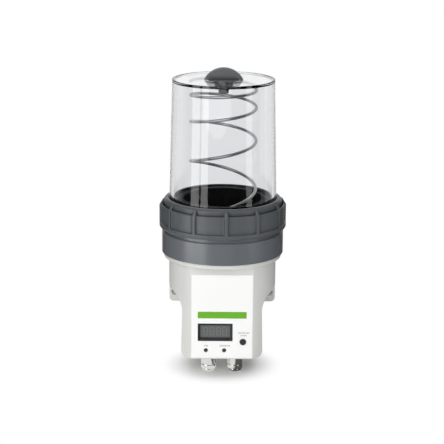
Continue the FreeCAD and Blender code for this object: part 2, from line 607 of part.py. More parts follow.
def make_screws():
    """Four base screws, four cover screws, four board screws and two motor screws."""
    shank_r = size("screw_r")
    head_r = size("screw_head_r")
    head = size("screw_head")
    roof = size("housing_top") - size("top_plate")
    at = size("base_screw_at")
    shank = size("top_plate") + size("screw_bite")
    shaped("base_screws", Part.makeCompound(
        [screw(V(x * at, y * at, roof), V(0, 0, 1), shank_r, shank, head_r, head)
         for x in (-1, 1) for y in (-1, 1)]))
    head_y = size("axis_setback") - size("cover_recess") - head
    inset = size("cover_screw_inset")
    heights = (size("housing_wall") - size("housing_low") + inset, roof - inset)
    shank = size("cover_thick") - head + size("cover_gasket_thick") + size("screw_bite")
    shaped("cover_screws", Part.makeCompound(
        [screw(V(x * size("cover_screw_x"), head_y, z), V(0, -1, 0), shank_r, shank, head_r, head)
         for x in (-1, 1) for z in heights]))
    board_back = size("housing_wall") + size("board_gap") + size("board_thick") - size("panel_depth")
    small_r = size("post_hole_r") - size("running_gap")
    shank = size("board_thick") + size("board_screw_bite")
    shaped("board_screws", Part.makeCompound(
        [screw(V(x * size("post_x"), board_back, z), V(0, -1, 0), small_r, shank, 2 * small_r, small_r)
         for x in (-1, 1) for z in (size("post_high"), -size("post_low"))]))
    wall = size("motor_wall_x") + size("bearing_wall")
    motor_y = size("gear_module") * (size("gear_teeth") + size("pinion_teeth")) / 2 - size("feed_y")
    shank = size("bearing_wall") + size("motor_pilot")
    shaped("motor_screws", Part.makeCompound(
        [screw(V(wall, motor_y, size("shaft_height") + z * size("motor_screw_at")), V(-1, 0, 0),
               small_r, shank, 2 * small_r, small_r) for z in (-1, 1)]))


# Front panel
LABEL_FRONT = "(panel_depth + label_thick)"


def make_front_label():
    body = new_body("front_label")
    block(body, "XZ_Plane", "-label_half", "label_half", "-label_low", "label_top", "panel_depth", LABEL_FRONT)
    block(body, "XZ_Plane", "-window_x - window_wide / 2", "-window_x + window_wide / 2",
          "-window_drop - window_high / 2", "-window_drop + window_high / 2", "panel_depth - 1",
          f"{LABEL_FRONT} + 1", cut=True)
    for across in ("-lamp_left_x", "lamp_right_x"):
        disc(body, "XZ_Plane", (across, "-lamp_drop"), "lamp_r + fit_gap", "panel_depth - 1",
             f"{LABEL_FRONT} + 1", cut=True)
    disc(body, "XZ_Plane", ("button_x", "-button_drop"), "button_r + fit_gap", "panel_depth - 1",
         f"{LABEL_FRONT} + 1", cut=True)


def make_display():
    """A black frame with a sloped opening, and the display module behind it."""
    body = new_body("display_bezel")
    edges = ("-window_x - window_wide / 2 + fit_gap", "-window_x + window_wide / 2 - fit_gap",
             "-window_drop - window_high / 2 + fit_gap", "-window_drop + window_high / 2 - fit_gap")
    back = f"{LABEL_FRONT} - bezel_deep"
    block(body, "XZ_Plane", *edges, back, LABEL_FRONT)
    inside = (f"{edges[0]} + bezel_edge", f"{edges[1]} - bezel_edge", f"{edges[2]} + bezel_edge",
              f"{edges[3]} - bezel_edge")
    opening = block(body, "XZ_Plane", *inside, f"{back} - 1", f"{LABEL_FRONT} + 1", cut=True)
    front = -size("panel_depth") - size("label_thick")
    reach_x = size("window_wide") / 2 - size("fit_gap") - size("bezel_edge")
    reach_z = size("window_high") / 2 - size("fit_gap") - size("bezel_edge")
    middle = V(-size("window_x"), front, -size("window_drop"))

    def inner_front(edge):
        off = edge.BoundBox.Center - middle
        beside = abs(abs(off.x) - reach_x) < 1e-3 and abs(off.z) < 1e-3
        above = abs(abs(off.z) - reach_z) < 1e-3 and abs(off.x) < 1e-3
        return abs(off.y) < 1e-3 and (beside or above)

    dress(body, "Chamfer", opening, inner_front, "bezel_slope")
    module = new_body("display_module")
    block(module, "XZ_Plane", f"{edges[0]} + module_inset", f"{edges[1]} - module_inset",
          f"{edges[2]} + module_inset", f"{edges[3]} - module_inset", f"{INNER_DEPTH} - board_gap", back)


def make_lamps():
    foot = f"{INNER_DEPTH} - board_gap"
    for label, across in (("status_lamp_left", "-lamp_left_x"), ("status_lamp_right", "lamp_right_x")):
        body = new_body(label)
        disc(body, "XZ_Plane", (across, "-lamp_drop"), "lamp_flange_r", foot, f"{foot} + lamp_flange")
        top = disc(body, "XZ_Plane", (across, "-lamp_drop"), "lamp_r", f"{foot} + lamp_flange",
                   f"{LABEL_FRONT} + lamp_proud")
        front = -size("panel_depth") - size("label_thick") - size("lamp_proud")
        dress(body, "Fillet", top, lambda edge, at=front: abs(edge.BoundBox.YMin - at) < 1e-3
              and edge.BoundBox.YLength < 1e-3, "lamp_proud * 2")


def make_button():
    """The select button with its collar and stem, and the key switch behind it."""
    body = new_body("select_button")
    spot = ("button_x", "-button_drop")
    collar_front = f"{INNER_DEPTH} - fit_gap"
    collar_back = f"{collar_front} - button_flange"
    switch_front = f"{INNER_DEPTH} - board_gap + switch_high"
    disc(body, "XZ_Plane", spot, "button_flange_r", collar_back, collar_front)
    disc(body, "XZ_Plane", spot, "button_r / 2", f"{switch_front} + button_travel + fit_gap", collar_back)
    cap = disc(body, "XZ_Plane", spot, "button_r", collar_front, f"{LABEL_FRONT} + button_proud")
    front = -size("panel_depth") - size("label_thick") - size("button_proud")
    dress(body, "Fillet", cap, lambda edge: abs(edge.BoundBox.YMin - front) < 1e-3
          and edge.BoundBox.YLength < 1e-3, "button_proud / 2")
    switch = new_body("button_switch")
    block(switch, "XZ_Plane", "button_x - switch_wide / 2", "button_x + switch_wide / 2",
          "-button_drop - switch_wide / 2", "-button_drop + switch_wide / 2",
          f"{INNER_DEPTH} - board_gap", f"{INNER_DEPTH} - board_gap + switch_high / 2")
    disc(switch, "XZ_Plane", spot, "switch_wide / 4", f"{INNER_DEPTH} - board_gap + switch_high / 2",
         switch_front)


def make_board():
    body = new_body("control_board")
    back = f"{INNER_DEPTH} - board_gap - board_thick"
    block(body, "XZ_Plane", "-board_half", "board_half", "-board_low", "board_top", back, f"{back} + board_thick")
    for spot in post_places():
        disc(body, "XZ_Plane", spot, "post_hole_r", f"{back} - 1", f"{back} + board_thick + 1", cut=True)
    for side in (-1, 1):
        block(body, "XZ_Plane", f"{side} * chip_x - chip_half", f"{side} * chip_x + chip_half", "-chip_low",
              "-chip_top", f"{back} - chip_thick", back)


# Reservoir
HOOD_FOOT = "(spigot_top + gasket_thick)"
PANEL_UNDER = "(hood_top - hood_dish - hood_panel)"
SEAT = "(hood_top - hood_dish - seat_deep)"
SEAT_UNDER = "(hood_top - hood_dish - hood_panel - seat_deep)"
PLATE_LOW = "(plate_top - plate_deep)"
FLOOR_UNDER = "(floor_top - floor_thick)"


def make_base():
    """The ring with its threaded spigot, the grease floor, the feed tube and four screw bosses."""
    body = new_body("reservoir_base")
    turned(body, (("base_inner_r", "housing_top"), ("base_r", "housing_top"), ("base_r", "base_ring_top - base_bevel"),
                  ("base_r - base_bevel", "base_ring_top"), ("spigot_r", "base_ring_top"),
                  ("spigot_r", "spigot_top"), ("floor_r", "spigot_top"), ("floor_r", "floor_top"),
                  ("0", "floor_top"), ("0", FLOOR_UNDER), ("base_inner_r", FLOOR_UNDER)))
    feed = ("-feed_x", "-feed_y")
    disc(body, "XY_Plane", feed, "feed_tube_r", "feed_joint", f"{FLOOR_UNDER} + 1")
    for spot in base_screw_places():
        disc(body, "XY_Plane", spot, "base_boss_r", "housing_top", f"{FLOOR_UNDER} + 1")
    for spot in base_screw_places():
        disc(body, "XY_Plane", spot, "screw_r + running_gap", "housing_top - 1",
             "housing_top + screw_bite + 1", cut=True)
    disc(body, "XY_Plane", feed, "feed_dish_r", "floor_top - feed_dish", "floor_top + 1", cut=True)
    disc(body, "XY_Plane", feed, "feed_r", "feed_joint - 1", "floor_top + 1", cut=True)


def make_gasket():
    body = new_body("hood_gasket")
    turned(body, (("gasket_inner_r", "spigot_top"), ("gasket_outer_r", "spigot_top"),
                  ("gasket_outer_r", HOOD_FOOT), ("gasket_inner_r", HOOD_FOOT)))


def make_hood():
    """The draughted clear hood with its clamped flange and the plug's sunk seat, and the neck ring with its
    bayonet slot."""
    body = new_body("hood")
    hole = "neck_r + fit_gap"
    shell = turned(body, ((hole, SEAT), ("seat_r", SEAT), ("seat_r", "hood_top - hood_dish"),
                          ("hood_top_r - hood_rim", "hood_top - hood_dish"),
                          ("hood_top_r - hood_rim", "hood_top"), ("hood_top_r", "hood_top"),
                          ("hood_low_r", f"{HOOD_FOOT} + hood_flange"),
                          ("hood_flange_r", f"{HOOD_FOOT} + hood_flange"), ("hood_flange_r", HOOD_FOOT),
                          ("hood_inner_low_r", HOOD_FOOT), ("hood_inner_top_r", PANEL_UNDER),
                          ("seat_r + hood_panel", PANEL_UNDER), ("seat_r + hood_panel", SEAT_UNDER),
                          (hole, SEAT_UNDER)))
    top = size("hood_top")
    dress(body, "Fillet", shell, lambda edge: abs(edge.BoundBox.ZMin - top) < 1e-3
          and edge.BoundBox.ZLength < 1e-3, "hood_round")
    ring = new_body("neck_ring")
    bore = "stem_r + running_gap"
    turned(ring, ((bore, f"{SEAT_UNDER} - neck_long"), ("neck_r", f"{SEAT_UNDER} - neck_long"),
                  ("neck_r", f"{SEAT_UNDER} - neck_lip"), ("neck_lip_r", f"{SEAT_UNDER} - neck_lip"),
                  ("neck_lip_r", SEAT_UNDER), ("neck_r", SEAT_UNDER), ("neck_r", SEAT), (bore, SEAT)))
    block(ring, "XY_Plane", "-lug_reach - slip_gap", "lug_reach + slip_gap", "-lug_wide / 2 - slip_gap",
          "lug_wide / 2 + slip_gap", f"{SEAT_UNDER} - neck_long - 1", "hood_top", cut=True)


def make_plug():
    """The quarter-turn plug: D-shaped grip, notched collar, stem and two lugs under the neck."""
    body = new_body("vent_plug")
    seat = f"({SEAT} + fit_gap)"
    grip_low = f"({seat} + plug_collar)"
    grip_r = "((grip_half ^ 2 + grip_high ^ 2) / (2 * grip_high))"
    grip = disc(body, "XZ_Plane", ("0", f"{grip_low} + grip_high - {grip_r}"), grip_r, "-grip_thick / 2",
                "grip_thick / 2")
    grip = block(body, "XZ_Plane", f"-{grip_r} - 1", f"{grip_r} + 1",
                 f"{grip_low} + grip_high - 2 * {grip_r} - 1", grip_low, "-grip_thick / 2 - 1",
                 "grip_thick / 2 + 1", cut=True)
    half = size("grip_thick") / 2
    dress(body, "Fillet", grip, lambda edge: abs(abs(edge.BoundBox.Center.y) - half) < 1e-3
          and edge.BoundBox.ZLength > 1e-3, "grip_round")
    disc(body, "XY_Plane", ("0", "0"), "plug_collar_r", seat, grip_low)
    disc(body, "XY_Plane", ("0", "0"), "stem_r", "stem_low", seat)
    lug_top = f"({SEAT_UNDER} - neck_long - fit_gap)"
    block(body, "XY_Plane", "-lug_wide / 2", "lug_wide / 2", "-lug_reach", "lug_reach", f"{lug_top} - lug_high",
          lug_top)
    block(body, "XY_Plane", "-notch_at - notch_wide / 2", "-notch_at + notch_wide / 2", "-plug_collar_r - 1",
          "-sqrt(plug_collar_r ^ 2 - notch_at ^ 2) + notch_deep", seat, grip_low, cut=True)
    sketch = new_sketch(body, "XY_Plane", seat)
    draw_circle(sketch, "0", "0", "ring_groove + ring_wide / 2 + fit_gap")
    draw_circle(sketch, "0", "0", "ring_groove - ring_wide / 2 - fit_gap")
    extrude(body, sketch, "ring_high", cut=True)
    seal = new_body("vent_plug_seal")
    turned(seal, (("ring_groove - ring_wide / 2", seat), ("ring_groove + ring_wide / 2", seat),
                  ("ring_groove + ring_wide / 2", f"{seat} + ring_high"),
                  ("ring_groove - ring_wide / 2", f"{seat} + ring_high")))


def make_follower():
    """The deep follower cup that the spring stands in, and the lip seal in a groove under its rim."""
    body = new_body("follower_plate")
    seal_top = "(plate_top - seal_drop)"
    seal_low = f"({seal_top} - seal_high)"
    turned(body, (("0", f"{PLATE_LOW} + plate_thick"), ("cup_r", f"{PLATE_LOW} + plate_thick"),
                  ("cup_r", "plate_top"), ("plate_r", "plate_top"), ("plate_r", seal_top),
                  ("seal_groove_r", seal_top), ("seal_groove_r", seal_low), ("plate_r", seal_low),
                  ("plate_r", f"{PLATE_LOW} + plate_bevel"), ("plate_r - plate_bevel", PLATE_LOW),
                  ("plate_hub_r", PLATE_LOW), ("plate_hub_r - plate_bevel", f"{PLATE_LOW} + plate_bevel"),
                  ("0", f"{PLATE_LOW} + plate_bevel")))
    seal = new_body("follower_seal")
    turned(seal, (("seal_groove_r", seal_low), ("seal_r - 2 * seal_bevel", seal_low),
                  ("seal_r", f"{seal_low} + seal_bevel"), ("seal_r", f"{seal_top} - seal_bevel"),
                  ("seal_r - 2 * seal_bevel", seal_top), ("seal_groove_r", seal_top)))


def coil(radius, wire_r, heights, start_side, across=0.0, depth=0.0):
    """A wire along half turns: each half circle joins two heights on opposite sides, seen from above
    clockwise as it goes down."""
    edges = []
    side = start_side
    middle = V(across, depth, 0)
    for high, low in zip(heights, heights[1:]):
        start = middle + V(side * radius, 0, high)
        end = middle + V(-side * radius, 0, low)
        bow = -1 if side > 0 else 1
        reach = math.hypot(radius, (high - low) / 2)
        edges.append(Part.Arc(start, middle + V(0, bow * reach, (high + low) / 2), end).toShape())
        side = -side
    path = Part.Wire(edges)
    first = edges[0]
    begin = first.valueAt(first.FirstParameter)
    along = first.tangentAt(first.FirstParameter)
    ring = Part.Wire([Part.Circle(begin, along, wire_r).toShape()])
    return path.makePipeShell([ring], True, True)


def make_springs():
    """The follower spring, whose pitch grows downwards, and the two small piston springs."""
    wire = size("spring_wire_r")
    high = size("hood_top") - size("hood_dish") - size("hood_panel") - wire - size("fit_gap")
    low = size("plate_top") - size("plate_deep") + size("plate_thick") + wire + size("fit_gap")
    drop = high - low
    shares = (0.0, 0.045, 0.084, 0.170, 0.275, 0.406, 0.559, 0.754, 0.948, 1.0, 1.0)
    heights = [high - share * drop for share in shares]
    shaped("follower_spring", coil(size("spring_r"), wire, heights, -1))
    wire = size("piston_wire_r")
    top = (size("shaft_height") - size("cam_r") - size("cam_throw") - size("cam_clearance")
           - size("piston_head") - wire - size("fit_gap"))
    foot = size("pump_top") + wire + size("fit_gap")
    turns = 9
    heights = [top + (foot - top) * i / turns for i in range(turns + 1)]
    middle_r = (size("piston_head_r") + size("piston_r")) / 2
    for label, side in (("piston_spring_left", -1), ("piston_spring_right", 1)):
        shaped(label, coil(middle_r, wire, heights, 1, side * size("port_x"), -size("feed_y")))


def make_nut():
    """The union nut: lip, thread bore, collar, skirt, ledge and the ribs round it."""
    body = new_body("union_nut", turn="rib_phase")
    lip_low = f"({HOOD_FOOT} + hood_flange + fit_gap)"
    bore = "(spigot_r + slip_gap)"
    neck = "(hood_flange_r + slip_gap)"
    turned(body, (("nut_lip_r", lip_low), (neck, lip_low), (neck, "spigot_top + slip_gap"),
                  (bore, "spigot_top + slip_gap"), (bore, "nut_low"), ("nut_low_r", "nut_low"),
                  ("nut_rib_r", "nut_edge"), ("nut_rib_r", "nut_ledge_top"),
                  ("nut_skirt_r", "nut_ledge_top + nut_ledge_slope"),
                  ("nut_skirt_r", "nut_skirt_top - nut_skirt_bevel"),
                  ("nut_skirt_r - nut_skirt_bevel", "nut_skirt_top"),
                  ("nut_collar_r + nut_groove", "nut_skirt_top"),
                  ("nut_collar_r + nut_groove", "nut_skirt_top - groove_deep"),
                  ("nut_collar_r", "nut_skirt_top - groove_deep"), ("nut_collar_r", "nut_top - nut_collar_step"),
                  ("nut_collar_r - nut_collar_step", "nut_top"), ("nut_lip_r", "nut_top")))
    sketch = new_sketch(body, "XZ_Plane")
    draw_outline(sketch, ((f"{bore} + fit_gap", "nut_ledge_top - 1"), ("nut_rib_r", "nut_ledge_top - 1"),
                          ("nut_rib_r", "rib_top - rib_slope"), ("rib_top_r", "rib_top"),
                          (f"{bore} + fit_gap", "rib_top")))
    rib = extrude(body, sketch, "rib_wide")
    rib.Midplane = True
    around(body, rib, "rib_count")


# Pump and drive
MOTOR_Y = "(gear_module * (gear_teeth + pinion_teeth) / 2 - feed_y)"
HEAD_TOP = "(shaft_height - cam_r - cam_throw - cam_clearance)"
FITTING_TOP = "(housing_wall - housing_low + outlet_thread)"


def make_pump():
    """The pump block with its feed tower, bearing walls, piston bores, channels and outlet ports."""
    body = new_body("pump_body")
    left = "-feed_x - feed_tube_r"
    block(body, "XY_Plane", left, "pump_right", "-pump_front", "-pump_back", CAVITY_FLOOR, "pump_top")
    disc(body, "XY_Plane", ("-feed_x", "-feed_y"), "feed_tube_r", "pump_top - 1", "feed_joint")
    block(body, "YZ_Plane", "-feed_y - wall_half", "-feed_y + wall_half", "pump_top - 1",
          "shaft_height + wall_rise", "-bearing_wall_x - bearing_wall", "-bearing_wall_x")
    block(body, "YZ_Plane", "-feed_y - wall_half", f"{MOTOR_Y} + motor_r", "pump_top - 0.5",
          "shaft_height + motor_wall_rise", "motor_wall_x", "motor_wall_x + bearing_wall")
    shaft = ("-feed_y", "shaft_height")
    disc(body, "YZ_Plane", shaft, "bearing_r + running_gap", "-bearing_wall_x - bearing_wall - 1",
         "-bearing_wall_x + 1", cut=True)
    disc(body, "YZ_Plane", shaft, "bearing_r + running_gap", "motor_wall_x - 1",
         "motor_wall_x + bearing_wall + 1", cut=True)
    disc(body, "YZ_Plane", (MOTOR_Y, "shaft_height"), "motor_pilot_r + fit_gap", "motor_wall_x - 1",
         "motor_wall_x + bearing_wall + 1", cut=True)
    for side in (-1, 1):
        disc(body, "YZ_Plane", (MOTOR_Y, f"shaft_height + {side} * motor_screw_at"), "post_hole_r",
             "motor_wall_x - 1", "motor_wall_x + bearing_wall + 1", cut=True)
        port = (f"{side} * port_x", "-feed_y")
        disc(body, "XY_Plane", port, "piston_r + running_gap", "-piston_bore_low", "pump_top + 1", cut=True)
        disc(body, "XY_Plane", port, "channel_r", f"{CAVITY_FLOOR} + 1", "-piston_bore_low + 1", cut=True)
        disc(body, "XY_Plane", port, "port_r", f"{CAVITY_FLOOR} - 1", f"{CAVITY_FLOOR} + port_deep", cut=True)
    disc(body, "XY_Plane", ("-feed_x", "-feed_y"), "feed_r", "-piston_foot + 1", "feed_joint + 1", cut=True)
    disc(body, "YZ_Plane", ("-feed_y", "-channel_drop"), "channel_r", "-feed_x", "port_x", cut=True)


def make_camshaft():
    body = new_body("camshaft")
    shaft = ("-feed_y", "shaft_height")
    disc(body, "YZ_Plane", shaft, "shaft_r", "-bearing_wall_x - bearing_wall - fit_gap", "gear_x + gear_wide + shaft_end")
    for side in (-1, 1):
        disc(body, "YZ_Plane", ("-feed_y", f"shaft_height - {side} * cam_throw"), "cam_r",
             f"{side} * port_x - cam_wide / 2", f"{side} * port_x + cam_wide / 2")
    for label, low in (("cam_bearing_left", "-bearing_wall_x - bearing_wall"), ("cam_bearing_right", "motor_wall_x")):
        bush = new_body(label)
        disc(bush, "YZ_Plane", shaft, "bearing_r", low, f"{low} + bearing_wall")
        disc(bush, "YZ_Plane", shaft, "shaft_r + running_gap", f"{low} - 1", f"{low} + bearing_wall + 1", cut=True)


def gear(label, teeth, bore, centre_y, turn):
    """A spur gear on an axis along X: a disc of the root radius and one tooth repeated round it."""
    module = size("gear_module")
    count = int(round(size(teeth)))
    pitch_r = module * count / 2
    root_r = pitch_r - 1.25 * module
    tip_r = pitch_r + 0.9 * module
    half_pitch = (math.pi * module / 2 - size("gear_backlash")) / 2 / pitch_r
    pressure = math.radians(size("pressure_angle"))
    base_r = pitch_r * math.cos(pressure)

    def unrolled(angle):
        return math.tan(angle) - angle

    def half_angle(radius):
        """Half the tooth's width as an angle: an involute outside the base circle, straight inside it."""
        slant = math.acos(min(1.0, base_r / radius))
        return half_pitch + unrolled(pressure) - unrolled(slant)

    wide = size("gear_wide")
    centre = V(size("gear_x"), centre_y, size("shaft_height"))
    flank = [root_r, max(base_r, root_r), pitch_r, (pitch_r + tip_r) / 2, tip_r]
    outline = []
    for i in range(count):
        middle = turn + 2 * math.pi * i / count
        sides = [(radius, -1) for radius in flank] + [(radius, 1) for radius in reversed(flank)]
        for radius, sign in sides:
            angle = middle + sign * half_angle(radius)
            outline.append(centre + V(0, radius * math.cos(angle), radius * math.sin(angle)))
    outline.append(outline[0])
    wheel = Part.Face(Part.makePolygon(outline)).extrude(V(wide, 0, 0))
    shaped(label, wheel.cut(Part.makeCylinder(bore, wide, centre, V(1, 0, 0))))


def make_gears():
    """The drive gear and the pinion: a tooth of one meets a gap of the other between the axes."""
    shaft_y = -size("feed_y")
    spread = size("gear_module") * (size("gear_teeth") + size("pinion_teeth")) / 2
    gap = size("running_gap")
    gear("drive_gear", "gear_teeth", size("shaft_r") + gap, shaft_y, 0.0)
    pinion = int(round(size("pinion_teeth")))
    gear("motor_pinion", "pinion_teeth", size("motor_shaft_r") + gap, shaft_y + spread,
         math.pi + math.pi / pinion)


def make_motor():
    """The motor, held by its pilot and two screws on the motor wall, and its shaft."""
    body = new_body("motor")
    spot = (MOTOR_Y, "shaft_height")
    disc(body, "YZ_Plane", spot, "motor_r", "motor_wall_x - motor_long", "motor_wall_x")
    disc(body, "YZ_Plane", spot, "motor_pilot_r", "motor_wall_x", "motor_wall_x + motor_pilot")
    disc(body, "YZ_Plane", spot, "motor_shaft_r + running_gap", "motor_wall_x - motor_shaft_in", "motor_wall_x + motor_pilot + 1",
         cut=True)
    for side in (-1, 1):
        disc(body, "YZ_Plane", (MOTOR_Y, f"shaft_height + {side} * motor_screw_at"), "post_hole_r",
             "motor_wall_x - motor_pilot - 1", "motor_wall_x + 1", cut=True)
    shaft = new_body("motor_shaft")
    disc(shaft, "YZ_Plane", spot, "motor_shaft_r", "motor_wall_x - motor_shaft_in + fit_gap", "gear_x + gear_wide + shaft_end")


def make_pistons():
    for label, side in (("pump_piston_left", -1), ("pump_piston_right", 1)):
        body = new_body(label)
        spot = (f"{side} * port_x", "-feed_y")
        disc(body, "XY_Plane", spot, "piston_r", "-piston_foot", f"{HEAD_TOP} - piston_head")
        disc(body, "XY_Plane", spot, "piston_head_r", f"{HEAD_TOP} - piston_head", HEAD_TOP)


def make_outlets():
    """Nickel hose fittings with their washers and release collars."""
    for name, side in (("left", -1), ("right", 1)):
        spot = (f"{side} * port_x", "-feed_y")
        shoulder = "(-housing_low - outlet_seal)"
        body = new_body(f"outlet_fitting_{name}")
        groove_r = "outlet_r - outlet_groove_deep"
        turned(body, (("channel_r", FITTING_TOP), ("port_r - running_gap", FITTING_TOP),
                      ("port_r - running_gap", shoulder), ("outlet_r", shoulder),
                      ("outlet_r", "-outlet_groove_at + outlet_groove"), (groove_r, "-outlet_groove_at + outlet_groove"),
                      (groove_r, "-outlet_groove_at"), ("outlet_r", "-outlet_groove_at"),
                      ("outlet_r", "-outlet_low + outlet_bevel"), ("outlet_r - outlet_bevel", "-outlet_low"),
                      ("collar_r + running_gap", "-outlet_low"),
                      ("collar_r + running_gap", "-outlet_low + collar_in + collar_travel + 2 * fit_gap"),
                      ("hose_r", "-outlet_low + collar_in + collar_travel + 2 * fit_gap"),
                      ("hose_r", "-outlet_low + hose_deep"), ("channel_r", "-outlet_low + hose_deep")), spot)
        washer = new_body(f"outlet_seal_{name}")
        turned(washer, (("port_r + fit_gap", shoulder), ("outlet_r", shoulder), ("outlet_r", "-housing_low"),
                        ("port_r + fit_gap", "-housing_low")), spot)
        collar = new_body(f"release_collar_{name}")
        face = "(-outlet_low - collar_travel - fit_gap)"
        turned(collar, (("collar_bore_r", "-outlet_low + collar_in"), ("collar_r", "-outlet_low + collar_in"),
                        ("collar_r", face), ("collar_head_r", face), ("collar_head_r", f"{face} - collar_head"),
                        ("collar_bore_r", f"{face} - collar_head")), spot)


def make_battery():
    """Three cells in a tray that stands on the rear cover's inner face."""
    radius = size("cell_r")
    long = size("cell_long")
    tip_high = size("cell_tip")
    tray_back = size("axis_setback") - size("cover_recess") - size("cover_thick")
    middle_y = tray_back - size("tray_floor") - size("fit_gap") - radius
    cells = []
    for i in (-1, 0, 1):
        height = size("cell_middle") + i * size("cell_pitch")
        can = Part.makeCylinder(radius, long - tip_high, V(-long / 2, middle_y, height), V(1, 0, 0))
        tip = Part.makeCylinder(size("cell_tip_r"), tip_high, V(long / 2 - tip_high, middle_y, height), V(1, 0, 0))
        cells.append(can.fuse(tip))
    shaped("battery_cells", Part.makeCompound(cells))
    body = new_body("battery_tray")
    back = "-axis_setback + cover_recess + cover_thick"
    low = "cell_middle - cell_pitch - cell_r - fit_gap"
    high = "cell_middle + cell_pitch + cell_r + fit_gap"
    outer = "cell_long / 2 + fit_gap + tray_end"
    block(body, "XZ_Plane", f"-({outer})", outer, low, high, back, f"{back} + tray_floor + cell_r")
    block(body, "XZ_Plane", f"-({outer}) + tray_end", f"{outer} - tray_end", f"{low} - 1", f"{high} + 1",
          f"{back} + tray_floor", f"{back} + tray_floor + cell_r + 1", cut=True)


def build():
    make_housing()
    make_rear_cover()
    make_screws()
    make_front_label()
    make_display()
    make_lamps()
    make_button()
    make_board()
    make_base()
    make_gasket()
    make_hood()
    make_plug()
    make_follower()
    make_springs()
    make_nut()
    make_pump()
    make_camshaft()
    make_gears()
    make_motor()
    make_pistons()
    make_outlets()
    make_battery()
    doc.recompute()


def check():
    """Stops before anything is written if a feature failed or a shape is not whole."""
    for item in doc.Objects:
        if "Invalid" in item.State or "Error" in item.State:
            raise RuntimeError(f"{item.Label} failed: {item.State}")
    for piece in pieces:
        if piece.Shape.isNull() or not piece.Shape.isValid():
            raise RuntimeError(f"{piece.Label} has no valid shape")


def write():
    os.makedirs("parts", exist_ok=True)
    for piece in pieces:
        piece.Shape.exportStep(f"parts/{piece.Label}.step")
        box = piece.Shape.BoundBox
        print(f"{piece.Label}: {len(piece.Shape.Solids)} solids, {piece.Shape.Volume:.0f} mm3, "
              f"x {box.XMin:.1f} {box.XMax:.1f} y {box.YMin:.1f} {box.YMax:.1f} z {box.ZMin:.1f} {box.ZMax:.1f}")


build()
check()
write()
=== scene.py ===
"""Looks of a wall-mounted automatic lubricator, laid out as an add-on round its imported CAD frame.

The frame gives every piece its place: +Z is up, the front faces -Y and lengths are in metres.
"""

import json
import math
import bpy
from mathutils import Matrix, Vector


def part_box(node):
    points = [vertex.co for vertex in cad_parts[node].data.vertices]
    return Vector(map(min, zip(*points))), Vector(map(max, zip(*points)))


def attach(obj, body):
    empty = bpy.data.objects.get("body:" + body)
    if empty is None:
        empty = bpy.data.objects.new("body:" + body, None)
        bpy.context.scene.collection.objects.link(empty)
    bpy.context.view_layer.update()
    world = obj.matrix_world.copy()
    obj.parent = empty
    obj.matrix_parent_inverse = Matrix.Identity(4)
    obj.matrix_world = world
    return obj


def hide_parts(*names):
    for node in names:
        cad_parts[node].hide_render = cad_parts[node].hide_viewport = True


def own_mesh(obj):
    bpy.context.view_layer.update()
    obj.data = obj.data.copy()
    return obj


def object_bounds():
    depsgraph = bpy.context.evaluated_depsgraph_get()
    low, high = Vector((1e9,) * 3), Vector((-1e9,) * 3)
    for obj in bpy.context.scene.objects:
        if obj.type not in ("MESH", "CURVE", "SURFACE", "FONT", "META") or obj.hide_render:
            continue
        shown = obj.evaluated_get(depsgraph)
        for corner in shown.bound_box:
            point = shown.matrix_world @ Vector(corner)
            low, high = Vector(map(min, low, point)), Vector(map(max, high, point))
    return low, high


bl_info = {
    "name": "Automatic lubricator",
    "version": (1, 0, 0),
    "blender": (4, 5, 0),
    "location": "View3D > Sidebar > Lubricator",
    "description": "Finishes of a wall-mounted automatic lubricator and the studio round it",
    "category": "Object",
}

import bpy
import numpy as np
from bpy.props import FloatProperty, FloatVectorProperty, IntProperty, PointerProperty
from mathutils import Matrix, Vector

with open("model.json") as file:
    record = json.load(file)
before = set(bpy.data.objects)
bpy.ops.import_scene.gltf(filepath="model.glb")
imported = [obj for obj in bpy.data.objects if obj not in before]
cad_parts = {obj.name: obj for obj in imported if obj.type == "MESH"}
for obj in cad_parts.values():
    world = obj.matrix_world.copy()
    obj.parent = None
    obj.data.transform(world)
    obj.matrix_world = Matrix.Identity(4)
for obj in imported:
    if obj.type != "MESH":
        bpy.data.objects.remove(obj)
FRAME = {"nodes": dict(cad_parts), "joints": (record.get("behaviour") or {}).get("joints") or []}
NODES = FRAME["nodes"]
CAD_BOX = [list(corner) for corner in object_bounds()]
MM = 0.001
# The reservoir's axis stands this far in front of the wall
AXIS_Y = -0.054


# Colours, sockets and materials

def shade(red, green, blue):
    """A colour given in display values from 0 to 255, as the linear light that shaders use."""
    display = np.array((red, green, blue)) / 255
    linear = np.where(display > 0.04045, ((display + 0.055) / 1.055) ** 2.4, display / 12.92)
    return tuple(float(part) for part in linear)


def toned(colour, factor):
    """A colour made darker or lighter by a factor, and at most white."""
    return tuple(min(1.0, part * factor) for part in colour)


def colour_field(name, description, red, green, blue):
    """A colour setting, its default given in display values from 0 to 255."""
    return FloatVectorProperty(name=name, description=description, default=shade(red, green, blue),
                               subtype="COLOR", size=3, min=0, max=1)


def length_field(name, description, millimetres):
    """A length setting, its default given in millimetres."""
    return FloatProperty(name=name, description=description, default=millimetres * MM, min=0, unit="LENGTH",
                         subtype="DISTANCE", precision=5)


def share_field(name, description, default, high=1.0):
    """A number from 0 up to a limit."""
    return FloatProperty(name=name, description=description, default=default, min=0, max=high)


